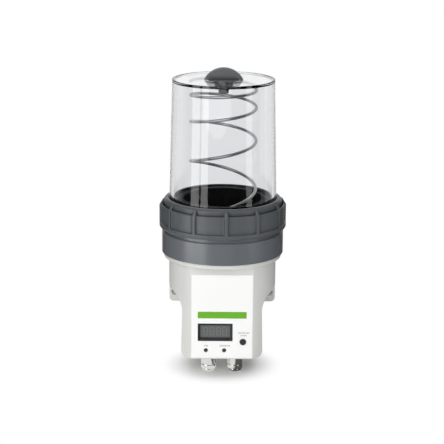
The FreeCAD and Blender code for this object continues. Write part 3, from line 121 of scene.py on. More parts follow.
class Wire:
    """The output of a node. Arithmetic on it adds Math nodes to its material."""

    def __init__(self, finish, socket):
        self.finish = finish
        self.socket = socket

    def math(self, operation, *values):
        return self.finish.node("ShaderNodeMath", {"operation": operation}, dict(enumerate(values)))

    def __add__(self, other):
        return self.math("ADD", self, other)

    def __radd__(self, other):
        return self.math("ADD", other, self)

    def __sub__(self, other):
        return self.math("SUBTRACT", self, other)

    def __rsub__(self, other):
        return self.math("SUBTRACT", other, self)

    def __mul__(self, other):
        return self.math("MULTIPLY", self, other)

    def __rmul__(self, other):
        return self.math("MULTIPLY", other, self)

    def __truediv__(self, other):
        return self.math("DIVIDE", self, other)

    def __pow__(self, other):
        return self.math("POWER", self, other)

    def __gt__(self, other):
        return self.math("GREATER_THAN", self, other)

    def __lt__(self, other):
        return self.math("LESS_THAN", self, other)


class Finish:
    """One material, or the world, while it is wired from expressions."""

    def __init__(self, name, holder=None):
        self.holder = holder or bpy.data.materials.new(name)
        self.holder.use_nodes = True
        self.tree = self.holder.node_tree
        self.tree.nodes.clear()

    def node(self, kind, settings=None, values=None, output=0):
        """Adds a node: its settings first, a ramp's stops among them, then its sockets' values or links."""
        made = self.tree.nodes.new(kind)
        for key, setting in (settings or {}).items():
            if key == "stops":
                ramp = made.color_ramp
                while len(ramp.elements) < len(setting):
                    ramp.elements.new(1)
                for element, (position, colour) in zip(ramp.elements, setting):
                    element.position = position
                    element.color = (*colour, 1)
            else:
                setattr(made, key, setting)
        for key, value in (values or {}).items():
            if isinstance(value, Wire):
                self.tree.links.new(value.socket, made.inputs[key])
            elif made.inputs[key].type == "RGBA":
                made.inputs[key].default_value = (*value, 1)
            else:
                made.inputs[key].default_value = value
        return Wire(self, made.outputs[output])

    def place(self):
        """The point on the piece, in its own coordinates, which are the frame's."""
        return self.node("ShaderNodeTexCoord", output="Object")

    def along(self, axis):
        """One coordinate of that point."""
        return self.node("ShaderNodeSeparateXYZ", values={"Vector": self.place()}, output=axis)

    def noise(self, per_metre, detail=2.0, stretch=(1, 1, 1)):
        """Noise with so many features a metre, stretched along an axis where its factor is below 1."""
        where = self.node("ShaderNodeMapping", values={"Vector": self.place(), "Scale": stretch})
        return self.node("ShaderNodeTexNoise", values={"Vector": where, "Scale": per_metre, "Detail": detail},
                         output="Fac")

    def mix(self, share, first, second):
        """A colour between two colours."""
        return self.node("ShaderNodeMix", {"data_type": "RGBA"}, {"Factor": share, 6: first, 7: second},
                         output=2)

    def bump(self, height, depth, strength=1.0, edge=0.0):
        """A normal from a height between 0 and 1, on edges that are softened over a small radius."""
        values = {"Height": height, "Distance": depth, "Strength": strength}
        if edge:
            values["Normal"] = self.node("ShaderNodeBevel", {"samples": 6}, {"Radius": edge})
        return self.node("ShaderNodeBump", values=values)

    def surface(self, **values):
        """Puts one shader on the surface, its sockets given by name with underscores for spaces."""
        named = {key.replace("_", " "): value for key, value in values.items()}
        return self.shader(self.node("ShaderNodeBsdfPrincipled", values=named))

    def shader(self, wire, volume=None):
        """Ends the material or world: its surface, and a volume where one is given."""
        on_piece = isinstance(self.holder, bpy.types.Material)
        end = self.tree.nodes.new("ShaderNodeOutputMaterial" if on_piece else "ShaderNodeOutputWorld")
        self.tree.links.new(wire.socket, end.inputs["Surface"])
        if volume:
            self.tree.links.new(volume.socket, end.inputs["Volume"])
        return self.holder


def paint(material, *names):
    """Gives a material to CAD nodes."""
    for name in names:
        node = NODES[name]
        for slot in node.material_slots:
            slot.material = material


# Finishes

def moulded_plastic(name, colour, rough=0.42, grain=0.6, edge=0.4, gloss=0.45, painted_shade_reach=0.0):
    """Injection-moulded plastic: fine spark-eroded grain, faint flow marks in colour and gloss, soft edges.
    A reach in millimetres, where one is given, paints shade into the colour: grooves and corners are
    darker the less open sky they see within that distance."""
    finish = Finish(name)
    flow = finish.noise(60, 3, (1, 1, 0.35))
    speck = finish.noise(2600, 1)
    tone = finish.mix(flow, toned(colour, 0.94), toned(colour, 1.05))
    if painted_shade_reach:
        # Painted shade: ambient occlusion turns the colour towards near black in grooves and corners
        open_sky = finish.node("ShaderNodeAmbientOcclusion", {"only_local": True, "samples": 12},
                               {"Distance": painted_shade_reach * MM}, output="AO")
        tone = finish.mix(open_sky ** 2.2, toned(colour, 0.12), tone)
    normal = finish.bump(speck * 0.7 + finish.noise(900, 2) * 0.3, 0.00006, grain, edge * MM)
    return finish.surface(Base_Color=tone, Roughness=rough - 0.06 + flow * 0.12, Normal=normal,
                          Specular_IOR_Level=gloss)


def plated_metal(name, colour, rough, lines=(1, 1, 0.02), depth=0.00001, edge=0.15, patches=0.08, metal=1.0):
    """Plated or turned metal: fine tool lines along one axis and a slightly uneven gloss."""
    finish = Finish(name)
    tool = finish.noise(5200, 2, lines)
    cloud = finish.noise(210, 3)
    tone = finish.mix(cloud, toned(colour, 0.9), colour)
    return finish.surface(Base_Color=tone, Metallic=metal, Roughness=rough + cloud * patches,
                          Normal=finish.bump(tool, depth, 0.5, edge * MM))


def cast_metal(name, colour, rough=0.5):
    """Die-cast alloy: a pebbled skin with cloudy colour."""
    finish = Finish(name)
    skin = finish.noise(1300, 4)
    cloud = finish.noise(130, 3)
    tone = finish.mix(cloud, toned(colour, 0.82), colour)
    return finish.surface(Base_Color=tone, Metallic=0.85, Roughness=rough - 0.1 + cloud * 0.2,
                          Normal=finish.bump(skin, 0.00012, 0.6, 0.0004))


def rubber_skin(name, colour):
    """Moulded rubber: matt, slightly dusty, with a fine skin."""
    finish = Finish(name)
    dust = finish.noise(480, 4)
    tone = finish.mix(dust, colour, tuple(part * 1.5 + 0.01 for part in colour))
    return finish.surface(Base_Color=tone, Roughness=0.66 + dust * 0.2, Specular_IOR_Level=0.2,
                          Normal=finish.bump(finish.noise(3200, 2), 0.00003, 0.5, 0.0002))


def within(low, value, high):
    """1 where a value lies between two limits and 0 elsewhere."""
    return (value > low) * (value < high)


# Mesh

def rounded(points, radius, steps=4):
    """Rounds the corners of a closed outline: each corner becomes a quadratic arc whose ends lie one radius
    along its two sides, or two fifths of a side where that is shorter. Every corner gives steps + 1
    points."""
    points = np.array(points, float)
    back = np.roll(points, 1, 0) - points
    ahead = np.roll(points, -1, 0) - points
    back_long = np.linalg.norm(back, axis=1, keepdims=True)
    ahead_long = np.linalg.norm(ahead, axis=1, keepdims=True)
    start = points + back / back_long * np.minimum(radius, 0.4 * back_long)
    end = points + ahead / ahead_long * np.minimum(radius, 0.4 * ahead_long)
    share = np.linspace(0, 1, steps + 1)[None, :, None]
    arcs = ((1 - share) ** 2 * start[:, None] + 2 * share * (1 - share) * points[:, None]
            + share ** 2 * end[:, None])
    return arcs.reshape(-1, 2)


def surface_mesh(name, grid, close_u, close_v, caps=False):
    """A mesh of quads over a grid of points [u, v], closed round either way, with end fans when caps is
    set."""
    count_u, count_v = grid.shape[:2]
    index = np.arange(count_u * count_v).reshape(count_u, count_v)
    wrapped = np.concatenate((index, index[:1]), 0) if close_u else index
    wrapped = np.concatenate((wrapped, wrapped[:, :1]), 1) if close_v else wrapped
    quads = np.stack((wrapped[:-1, :-1], wrapped[1:, :-1], wrapped[1:, 1:], wrapped[:-1, 1:]), -1)
    points = grid.reshape(-1, 3)
    faces = quads.reshape(-1, 4).tolist()
    if caps:
        ends = np.stack((grid[0].mean(0), grid[-1].mean(0)))
        first, last = len(points), len(points) + 1
        points = np.concatenate((points, ends))
        ring = np.arange(count_v)
        nearer = np.roll(ring, -1)
        faces += np.stack((np.full(count_v, first), index[0][ring], index[0][nearer]), -1).tolist()
        faces += np.stack((np.full(count_v, last), index[-1][nearer], index[-1][ring]), -1).tolist()
    mesh = bpy.data.meshes.new(name)
    mesh.from_pydata(points, [], faces)
    mesh.polygons.foreach_set("use_smooth", np.ones(len(mesh.polygons), bool))
    mesh.update()
    return mesh


def face_outwards(mesh, inside):
    """Flips the faces when the enclosed volume, the sum of signed tetrahedra about a point, is negative."""
    points = np.zeros(len(mesh.vertices) * 3)
    mesh.vertices.foreach_get("co", points)
    points = points.reshape(-1, 3) - np.array(inside)
    mesh.calc_loop_triangles()
    corners = np.zeros(len(mesh.loop_triangles) * 3, int)
    mesh.loop_triangles.foreach_get("vertices", corners)
    first, second, third = points[corners.reshape(-1, 3)].transpose(1, 0, 2)
    if np.einsum("ij,ij->i", first, np.cross(second, third)).sum() < 0:
        mesh.flip_normals()


def new_piece(name, mesh, material, body, slot, *nodes):
    """Links a finished mesh at the origin, on its body, in place of the CAD nodes it stands for."""
    piece = bpy.data.objects.new(name, mesh)
    bpy.context.scene.collection.objects.link(piece)
    mesh.materials.append(material)
    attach(piece, body)
    if nodes:
        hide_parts(*nodes)
    return piece


def wound_wire(name, centre, radius, wire, heights, side, sides=14, per_half=26):
    """A tube of the wire's radius along a coil. Half-turn k has the height heights[k], and between them the
    height is a cubic whose slopes are the mean of the neighbouring drops, and level at both ends, so the
    pitch changes smoothly. The angle runs clockwise seen from above, the tube's ring stands across the
    line's tangent, and side, 1 or -1, says on which side of the axis the coil starts."""
    heights = np.array(heights, float)
    last = len(heights) - 1
    turn = np.linspace(0, last, last * per_half + 1)
    slopes = np.gradient(heights)
    slopes[0] = 0
    slopes[-1] = 0
    whole = np.clip(np.floor(turn).astype(int), 0, last - 1)
    part = np.clip(turn - whole, 0, 1)
    low, high = heights[whole], heights[whole + 1]
    level = (low * (2 * part ** 3 - 3 * part ** 2 + 1) + slopes[whole] * (part ** 3 - 2 * part ** 2 + part)
             + high * (3 * part ** 2 - 2 * part ** 3) + slopes[whole + 1] * (part ** 3 - part ** 2))
    angle = np.pi * turn
    line = np.stack((side * radius * np.cos(angle), -side * radius * np.sin(angle), level), -1)
    line[:, :2] += np.array(centre)
    tangent = np.gradient(line, axis=0)
    tangent /= np.linalg.norm(tangent, axis=1, keepdims=True)
    outward = np.stack((side * np.cos(angle), -side * np.sin(angle), np.zeros_like(angle)), -1)
    upward = np.cross(tangent, outward)
    upward /= np.linalg.norm(upward, axis=1, keepdims=True)
    outward = np.cross(upward, tangent)
    around = np.linspace(0, 2 * np.pi, sides, endpoint=False)
    # Both ends of the wire are a little thinner
    shrink = np.ones(len(turn))
    shrink[[0, -1]] = 0.72
    ring = np.cos(around)[None, :, None] * outward[:, None] + np.sin(around)[None, :, None] * upward[:, None]
    tube = line[:, None] + wire * shrink[:, None, None] * ring
    mesh = surface_mesh(name, tube, False, True, caps=True)
    face_outwards(mesh, (centre[0], centre[1], float(heights.mean())))
    return mesh


# Settings

class HoodLooks(bpy.types.PropertyGroup):
    tint: colour_field("Tint", "Colour that thick places of the clear plastic take", 176, 180, 182)
    density: FloatProperty(name="Density", description="Darkening for each metre of plastic", default=12.0,
                           min=0)
    body: colour_field("Body", "Slight grey that every wall of the plastic takes", 247, 248, 249)
    rough: share_field("Roughness", "Polish of the moulded surface", 0.015)


class SpringLooks(bpy.types.PropertyGroup):
    colour: colour_field("Colour", "Bright spring steel", 206, 207, 209)
    radius: length_field("Coil radius", "Middle of the wire from the coil's axis", 26.4)
    wire: length_field("Wire radius", "Half the wire's thickness", 1.25)
    small_radius: length_field("Piston coil radius", "Middle of the piston spring's wire", 4.1)
    small_wire: length_field("Piston wire radius", "Half the piston spring's wire", 0.3)


class NutLooks(bpy.types.PropertyGroup):
    colour: colour_field("Colour", "Dark grey moulding", 86, 90, 92)
    ribs: IntProperty(name="Ribs", description="Grip ribs round the nut", default=12, min=3)
    rib_wide: length_field("Rib width", "Width of a grip rib", 3.2)
    phase: FloatProperty(name="Phase", description="Turn of the first rib", default=math.radians(3.4),
                         subtype="ANGLE")
    round: length_field("Edge rounding", "Rounding of the moulded edges", 0.35)


class BlackLooks(bpy.types.PropertyGroup):
    plug: colour_field("Plug", "Vent plug", 107, 108, 110)
    plate: colour_field("Follower plate", "Matt black plate", 14, 15, 17)
    bezel: colour_field("Display frame", "Frame round the display", 46, 50, 52)
    button: colour_field("Button", "Select button", 40, 42, 43)
    lens: colour_field("Lamp", "Unlit lamp lens", 12, 12, 14)
    rubber: colour_field("Rubber", "Seals and gaskets", 17, 17, 18)


class HousingLooks(bpy.types.PropertyGroup):
    base: colour_field("Base ring", "Grey reservoir base", 101, 105, 110)
    white: colour_field("Housing", "White moulding", 219, 220, 216)


class LabelLooks(bpy.types.PropertyGroup):
    film: colour_field("Film", "White label film", 252, 252, 251)
    bar: colour_field("Bar", "Printed bar", 106, 180, 30)
    print: colour_field("Print", "Small printed marks", 150, 151, 152)
    screen: colour_field("Screen", "Display that is switched off", 96, 99, 99)
    digits: colour_field("Digits", "Faint digits of that display", 112, 115, 115)


class MetalLooks(bpy.types.PropertyGroup):
    nickel: colour_field("Nickel", "Plated hose fittings", 238, 237, 232)
    zinc: colour_field("Zinc", "Plated screws and shafts", 186, 189, 194)
    alloy: colour_field("Alloy", "Die-cast pump block", 168, 170, 172)
    bronze: colour_field("Bronze", "Sintered bushes and gears", 176, 132, 78)


class StageLooks(bpy.types.PropertyGroup):
    sky: share_field("Ambient light", "Light from all sides on matt surfaces", 0.34, 5)
    key: share_field("Window", "Radiance of the tall window on the left", 3.3, 20)
    fill: share_field("Fill", "Radiance of the panels on the right", 2.2, 20)
    front: share_field("Front softbox", "Radiance of the broad panel in front", 2.17, 20)
    top: share_field("Top softbox", "Radiance of the panel overhead", 1.2, 20)
    distance: length_field("Camera distance", "From the reservoir's axis", 1231.3)
    height: length_field("Aim height", "Height on the axis that the camera looks at", 72.0)
    pitch: FloatProperty(name="Pitch", description="Camera's look downwards", default=math.radians(14.223),
                         subtype="ANGLE")
    roll: FloatProperty(name="Roll", description="Lean of the picture", default=math.radians(0.43),
                        subtype="ANGLE")
    lens: FloatProperty(name="Lens", description="Focal length in mm on a sensor 36 mm wide", default=122.31,
                        min=1)


LOOKS = (("hood_looks", HoodLooks), ("spring_looks", SpringLooks), ("nut_looks", NutLooks),
         ("black_looks", BlackLooks), ("housing_looks", HousingLooks), ("label_looks", LabelLooks),
         ("metal_looks", MetalLooks), ("stage_looks", StageLooks))


# Operators

class LUBRICATOR_OT_hood(bpy.types.Operator):
    """Clear hood: polished, slightly grey plastic that darkens where it is thick"""
    bl_idname = "lubricator.hood"
    bl_label = "Clear hood"

    def execute(self, context):
        looks = context.scene.hood_looks
        finish = Finish("clear_hood")
        wave = finish.noise(24, 2, (1, 1, 0.3))
        body = finish.node("ShaderNodeBsdfPrincipled", values={
            "Base Color": tuple(looks.body), "Roughness": looks.rough, "IOR": 1.49,
            "Transmission Weight": 1.0, "Normal": finish.bump(wave, 0.00004, 0.35)})
        depth = finish.node("ShaderNodeVolumeAbsorption", values={"Color": tuple(looks.tint),
                                                                   "Density": looks.density})
        paint(finish.shader(body, depth), "hood", "neck_ring")
        return {"FINISHED"}


class LUBRICATOR_OT_plug(bpy.types.Operator):
    """Vent plug in grained dark plastic"""
    bl_idname = "lubricator.plug"
    bl_label = "Vent plug"

    def execute(self, context):
        looks = context.scene.black_looks
        # Painted shade darkens the plug's grooves and corners within 4 mm
        paint(moulded_plastic("plug_plastic", looks.plug, rough=0.45, grain=0.5, edge=0.2, gloss=0.3,
                              painted_shade_reach=4.0), "vent_plug")
        return {"FINISHED"}


def longest_way(joint_name):
    """How far a joint moves from rest, in metres."""
    joint = next(joint for joint in FRAME["joints"] if joint["name"] == joint_name)
    return max(abs(limit) for limit in joint["range_m"])


class LUBRICATOR_OT_springs(bpy.types.Operator):
    """Follower spring with its growing pitch, and the two piston springs, wound as smooth wire"""
    bl_idname = "lubricator.springs"
    bl_label = "Springs"

    def execute(self, context):
        looks = context.scene.spring_looks
        steel = plated_metal("spring_wire", tuple(looks.colour), 0.3, lines=(1, 1, 1), depth=0.000004,
                             edge=0.0, patches=0.1, metal=0.7)
        low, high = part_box("follower_spring")
        top, foot = high.z - looks.wire, low.z + looks.wire
        # The share of the way down that each half turn has reached
        shares = np.array((0.0, 0.045, 0.084, 0.170, 0.275, 0.406, 0.559, 0.754, 0.948, 1.0, 1.0))
        mesh = wound_wire("follower_spring_wire", (0, AXIS_Y), looks.radius, looks.wire,
                          top - shares * (top - foot), -1)
        piece = new_piece("follower_spring_wire", mesh, steel, "root", "spring_steel", "follower_spring")
        travel = longest_way("follower_slide")
        1 - travel / (high.z - low.z)
        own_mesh(piece)
        for name in ("left", "right"):
            low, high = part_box(f"piston_spring_{name}")
            centre = ((low.x + high.x) / 2, (low.y + high.y) / 2)
            heights = np.linspace(high.z - looks.small_wire, low.z + looks.small_wire, 10)
            mesh = wound_wire(f"piston_spring_wire_{name}", centre, looks.small_radius, looks.small_wire,
                              heights, 1, sides=8, per_half=14)
            piece = new_piece(f"piston_spring_wire_{name}", mesh, steel, "root", "spring_steel",
                              f"piston_spring_{name}")
            stroke = longest_way(f"piston_{name}_slide")
            1 - stroke / (high.z - low.z)
            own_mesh(piece)
        return {"FINISHED"}


class LUBRICATOR_OT_follower(bpy.types.Operator):
    """Follower plate in matt black plastic, and all the rubber seals and gaskets"""
    bl_idname = "lubricator.follower"
    bl_label = "Follower plate"

    def execute(self, context):
        looks = context.scene.black_looks
        paint(moulded_plastic("follower_plastic", looks.plate, rough=0.62, grain=0.5, edge=0.3, gloss=0.2),
              "follower_plate")
        paint(rubber_skin("seal_rubber_skin", looks.rubber), "follower_seal", "hood_gasket", "cover_gasket",
              "outlet_seal_left", "outlet_seal_right", "vent_plug_seal")
        return {"FINISHED"}


class LUBRICATOR_OT_nut(bpy.types.Operator):
    """Union nut: a turned section with grip ribs, moulded in dark grey"""
    bl_idname = "lubricator.nut"
    bl_label = "Union nut"

    def execute(self, context):
        looks = context.scene.nut_looks
        mesh = ribbed_ring("ribbed_nut", looks.ribs, looks.rib_wide, looks.phase, looks.round)
        # Painted shade darkens the nut's grooves, the slots between ribs and its corners within 5 mm
        plastic = moulded_plastic("nut_plastic", tuple(looks.colour), rough=0.36, grain=0.5, edge=0.0,
                                  gloss=0.35, painted_shade_reach=5.0)
        new_piece("ribbed_nut", mesh, plastic, "union_nut", "nut_grey", "union_nut")
        return {"FINISHED"}


def ribbed_ring(name, ribs, rib_wide, phase, soft):
    """A section turned about the axis: at each angle the section is a blend of the one between two ribs and
    the one through a rib, corner by corner. The blend is a smooth step over the rib's two edges, and the
    columns of the grid crowd there. Radii and heights are in millimetres until the end."""
    collar = ((51.52, 73.3), (51.52, 70.6), (50.92, 69.6))
    inside = ((47.72, 69.6), (47.72, 84.6), (46.5, 84.6), (46.5, 89.4), (43.95, 89.4))
    between = ((43.95, 93.4), (46.3, 93.4), (47.9, 91.8), (47.9, 86.6), (49.0, 86.6), (49.0, 88.4),
               (49.32, 88.4), (50.22, 87.5), (50.22, 73.9), *collar, *inside)
    rib = ((43.95, 93.4), (46.3, 93.4), (47.5, 92.2), (48.4, 92.2), (49.4, 90.57), (50.0, 89.58),
           (50.8, 88.28), (51.52, 87.1), (51.52, 74.9), *collar, *inside)
    middle_radius = 50.9
    edge_half = 0.3
    between = rounded(between, soft / MM)
    rib = rounded(rib, soft / MM)
    half = rib_wide / MM / 2 / middle_radius
    edge = edge_half / middle_radius
    pitch = 2 * np.pi / ribs
    near = np.linspace(half - edge, half + edge, 7)
    far = np.linspace(half + edge, pitch / 2, 8)[1:-1]
    one_side = np.concatenate((near, far))
    offsets = np.concatenate((-one_side[::-1], (0.0,), one_side, (pitch / 2,)))
    angles = (np.arange(ribs)[:, None] * pitch + offsets[None]).ravel()
    step = np.clip((half + edge - np.abs(offsets)) / (2 * edge), 0, 1)
    blend = np.tile(step ** 2 * (3 - 2 * step), ribs)[:, None, None]
    section = (1 - blend) * between[None] + blend * rib[None]
    turn = angles + phase - np.pi / 2
    grid = np.stack((section[..., 0] * np.cos(turn)[:, None], section[..., 0] * np.sin(turn)[:, None],
                     section[..., 1]), -1) * MM
    grid[..., 1] += AXIS_Y
    mesh = surface_mesh(name, grid, True, True)
    face_outwards(mesh, (0, AXIS_Y, 0))
    return mesh


class LUBRICATOR_OT_housing(bpy.types.Operator):
    """Grey reservoir base, white drive housing and its rear cover"""
    bl_idname = "lubricator.housing"
    bl_label = "Housing and base"

    def execute(self, context):
        looks = context.scene.housing_looks
        paint(moulded_plastic("base_plastic", looks.base, rough=0.3, grain=0.35, edge=0.35, gloss=1.0),
              "reservoir_base")
        paint(moulded_plastic("white_plastic", looks.white, rough=0.44, grain=0.45, edge=0.7), "housing",
              "rear_cover")
        return {"FINISHED"}


class LUBRICATOR_OT_label(bpy.types.Operator):
    """Front label with its printed bar and small marks, the display, lamps and button"""
    bl_idname = "lubricator.label"
    bl_label = "Front label"

    def execute(self, context):
        looks = context.scene.label_looks
        dark = context.scene.black_looks
        paint(printed_film(looks), "front_label")
        paint(moulded_plastic("bezel_plastic", dark.bezel, rough=0.5, grain=0.3, edge=0.1), "display_bezel")
        paint(moulded_plastic("button_plastic", dark.button, rough=0.4, grain=0.4, edge=0.3),
              "select_button", "button_switch")
        lens = Finish("lamp_glass")
        grain = lens.noise(3000, 1)
        tone = lens.mix(grain, tuple(dark.lens), shade(22, 20, 22))
        paint(lens.surface(Base_Color=tone, Roughness=0.08 + grain * 0.06, Coat_Weight=1.0,
                           Coat_Roughness=0.03), "status_lamp_left", "status_lamp_right")
        screen = Finish("display_screen")
        film = screen.noise(260, 2, (1, 1, 0.2))
        tone = screen.mix(film, toned(looks.screen, 0.9), tuple(looks.screen))
        paint(screen.surface(Base_Color=tone, Roughness=0.16 + film * 0.1, Coat_Weight=0.6,
                             Coat_Roughness=0.05), "display_module")
        low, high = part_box("display_bezel")
        mesh = digit_row("display_digits", (low.x + high.x) / 2, (low.z + high.z) / 2)
        new_piece("display_digits", mesh, faint_ink("digit_ink", looks.digits), "root", "display_glass")
        return {"FINISHED"}


def printed_film(looks):
    """Satin film: white, with one bar and rows of short marks where the real label has its print."""
    finish = Finish("label_film")
    across = finish.along("X") / MM
    height = finish.along("Z") / MM
    bar = within(-19.5, across, 19.8) * within(1.0, height, 6.6)
    per_mm, gap, ink = 0.9, 0.32, 0.75
    dash = (across.math("FRACT", across * per_mm) > gap) * ink
    marks = (within(-14.2, across, -11.2) * within(-22.7, height, -21.4)
             + within(-1.8, across, 6.6) * within(-22.7, height, -21.4)
             + within(13.0, across, 22.2) * within(-11.8, height, -10.5)
             + within(15.0, across, 20.0) * within(-14.0, height, -12.8)) * dash
    fibre = finish.noise(1500, 2)
    film = finish.mix(fibre, toned(looks.film, 0.985), tuple(looks.film))
    tone = finish.mix(marks, finish.mix(bar, film, tuple(looks.bar)), tuple(looks.print))
    return finish.surface(Base_Color=tone, Roughness=0.34 + fibre * 0.08,
                          Normal=finish.bump(finish.noise(2400, 2), 0.00003, 0.4))


def faint_ink(name, colour):
    """Bars of a display that is switched off: a slightly uneven grey."""
    finish = Finish(name)
    blot = finish.noise(900, 2)
    tone = finish.mix(blot, toned(colour, 0.88), tuple(colour))
    return finish.surface(Base_Color=tone, Roughness=0.3 + blot * 0.1)


def digit_row(name, middle_x, middle_z):
    """Four seven-bar digits: each bar is a flat hexagon, moved and turned to its place in the digit, then
    each digit to its place in the row, and all lie a little over the screen. Lengths are in millimetres
    until the digits stand in their row."""
    long, wide, over_screen = 1.45, 0.24, 0.05
    bar = np.array(((-long, 0), (-long + wide, wide), (long - wide, wide), (long, 0), (long - wide, -wide),
                    (-long + wide, -wide)))
    upright = bar[:, ::-1]
    places = ((0, 3.1, 0), (0, 0, 0), (0, -3.1, 0), (-1.55, 1.55, 1), (1.55, 1.55, 1), (-1.55, -1.55, 1),
              (1.55, -1.55, 1))
    bars = np.array([(upright if turned else bar) + (x, z) for x, z, turned in places])
    digits = np.array([bars + (x, 0) for x in (-7.6, -2.6, 2.6, 7.6)]).reshape(-1, 2) * MM
    module_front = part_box("display_module")[0].y
    points = np.stack((middle_x + digits[:, 0], np.full(len(digits), module_front - over_screen * MM),
                       middle_z + digits[:, 1]), -1)
    faces = np.arange(len(points)).reshape(-1, 6)
    mesh = bpy.data.meshes.new(name)
    mesh.from_pydata(points, [], faces.tolist())
    mesh.update()
    if mesh.polygons[0].normal.y > 0:
        mesh.flip_normals()
    return mesh


class LUBRICATOR_OT_fittings(bpy.types.Operator):
    """Nickel hose fittings with their release collars"""
    bl_idname = "lubricator.fittings"
    bl_label = "Hose fittings"

    def execute(self, context):
        looks = context.scene.metal_looks
        paint(plated_metal("nickel_plate", tuple(looks.nickel), 0.1, lines=(0.05, 0.05, 1), depth=0.000008),
              "outlet_fitting_left", "outlet_fitting_right", "release_collar_left", "release_collar_right")
        return {"FINISHED"}


class LUBRICATOR_OT_drive(bpy.types.Operator):
    """Screws, pump, camshaft, gears, motor, control board and battery inside the housing"""
    bl_idname = "lubricator.drive"
    bl_label = "Drive"

    def execute(self, context):
        looks = context.scene.metal_looks
        paint(plated_metal("zinc_plate", tuple(looks.zinc), 0.28), "base_screws", "cover_screws",
              "board_screws", "motor_screws", "camshaft", "motor_shaft", "pump_piston_left",
              "pump_piston_right")
        paint(cast_metal("pump_alloy_skin", tuple(looks.alloy)), "pump_body")
        paint(cast_metal("sintered_bronze", tuple(looks.bronze), 0.42), "cam_bearing_left",
              "cam_bearing_right", "drive_gear", "motor_pinion")
        paint(plated_metal("motor_can_plate", shade(140, 143, 147), 0.3, lines=(0.02, 1, 1)), "motor")
        paint(circuit_board(), "control_board")
        paint(wrapped_cell(), "battery_cells")
        paint(moulded_plastic("tray_plastic", shade(40, 42, 45), 0.5), "battery_tray")
        return {"FINISHED"}


def circuit_board():
    """Green lacquer over copper tracks. The tracks are pieces of square rings round scattered points, where
    a cell texture's distance lies between two limits."""
    finish = Finish("board_lacquer")
    blocks = finish.node("ShaderNodeTexVoronoi", {"feature": "F1", "distance": "CHEBYCHEV"},
                         {"Vector": finish.place(), "Scale": 190.0}, output="Distance")
    tracks = within(0.42, blocks, 0.5)
    tone = finish.mix(tracks, shade(18, 70, 42), shade(40, 108, 62))
    return finish.surface(Base_Color=tone, Roughness=0.28 + tracks * 0.1, Coat_Weight=0.5, Coat_Roughness=0.1,
                          Normal=finish.bump(tracks, 0.00004, 0.6, 0.0001))


def wrapped_cell():
    """Shrink-wrapped battery cells: a dark film with one lighter band, and bare metal at the tips."""
    finish = Finish("cell_film")
    across = finish.along("X") / MM
    band = within(-17.5, across, -11.0)
    film = finish.noise(300, 3)
    tone = finish.mix(band, finish.mix(film, shade(34, 40, 48), shade(44, 50, 60)), shade(178, 182, 186))
    tip = across > 24.0
    return finish.surface(Base_Color=finish.mix(tip, tone, shade(190, 190, 188)), Metallic=tip,
                          Roughness=0.3 + film * 0.1, Normal=finish.bump(film, 0.00003, 0.3, 0.0002))


class LUBRICATOR_OT_studio(bpy.types.Operator):
    """Pale floor, soft panels and the camera at the photograph's angle"""
    bl_idname = "lubricator.studio"
    bl_label = "Studio"

    def execute(self, context):
        looks = context.scene.stage_looks
        white_world(context.scene, looks.sky)
        pale_floor(CAD_BOX[0][2])
        for number, (azimuth, spread) in enumerate(((-59.5, 19.0), (-38.4, 15.4))):
            pane = panel(f"window_pane_{number}", azimuth, spread, distance=0.43, tall=0.66, middle=0.23,
                         radiance=looks.key)
            pane.visible_diffuse = False
        fill = panel("fill_panel", 56, 14, distance=0.6, tall=0.7, middle=0.25, radiance=looks.fill)
        fill.visible_diffuse = False
        for name, azimuth in (("edge_strip_near", 87), ("edge_strip_far", 102)):
            panel(name, azimuth, 2.2, distance=0.5, tall=0.66, middle=0.23, radiance=looks.fill / 3)
        panel("front_softbox", -14, 62, distance=1.1, tall=1.1, middle=0.5, radiance=looks.front, gloss=False,
              through=True)
        overhead = 1.2
        top = panel("top_softbox", 0, 60, distance=1.0, tall=1.1, middle=overhead, radiance=looks.top,
                    gloss=False)
        top.location = (0, AXIS_Y, overhead)
        top.rotation_euler = (0, 0, 0)
        camera_in_place(context.scene, looks)
        context.scene.view_settings.view_transform = "Standard"
        return {"FINISHED"}


def background_seen(finish, backwards):
    """How far a ray shows the plain background, and whether it is a glossy ray. The camera sees the
    background, and so does clear plastic: always on a ray that has only passed through, and otherwise on one
    that leads towards the back."""
    seen, through, gloss = (finish.node("ShaderNodeLightPath", output=f"Is {kind} Ray")
                            for kind in ("Camera", "Transmission", "Glossy"))
    met = (finish.node("ShaderNodeLightPath", output="Diffuse Depth")
           + finish.node("ShaderNodeLightPath", output="Glossy Depth"))
    ahead = finish.node("ShaderNodeMapRange", {"interpolation_type": "SMOOTHSTEP"},
                        {"Value": backwards, "From Min": 0.0, "From Max": 0.4})
    return seen.math("MAXIMUM", seen, through * ahead.math("MAXIMUM", ahead, met < 0.5)), gloss


def white_world(scene, ambient):
    """Light from all sides: plain white where a ray shows the background, an even ambient light on matt
    surfaces, and for gloss a room that is white behind the object and nearly dark in front of it."""
    world = bpy.data.worlds.new("studio_room")
    scene.world = world
    finish = Finish("studio_room", world)
    aim = finish.node("ShaderNodeTexCoord", output="Generated")
    back = finish.node("ShaderNodeSeparateXYZ", values={"Vector": aim}, output="Y")
    dark, white = (0.025,) * 3, (1.0,) * 3
    stops = ((0.0, dark), (0.9, dark), (0.97, white), (1.0, white))
    room = finish.node("ShaderNodeValToRGB", {"stops": stops}, {"Fac": back * 0.5 + 0.5})
    shown, gloss = background_seen(finish, back)
    matt = finish.mix(gloss, (ambient,) * 3, room)
    finish.shader(finish.node("ShaderNodeBackground", values={"Color": finish.mix(shown, matt, white),
                                                              "Strength": 1.0}))


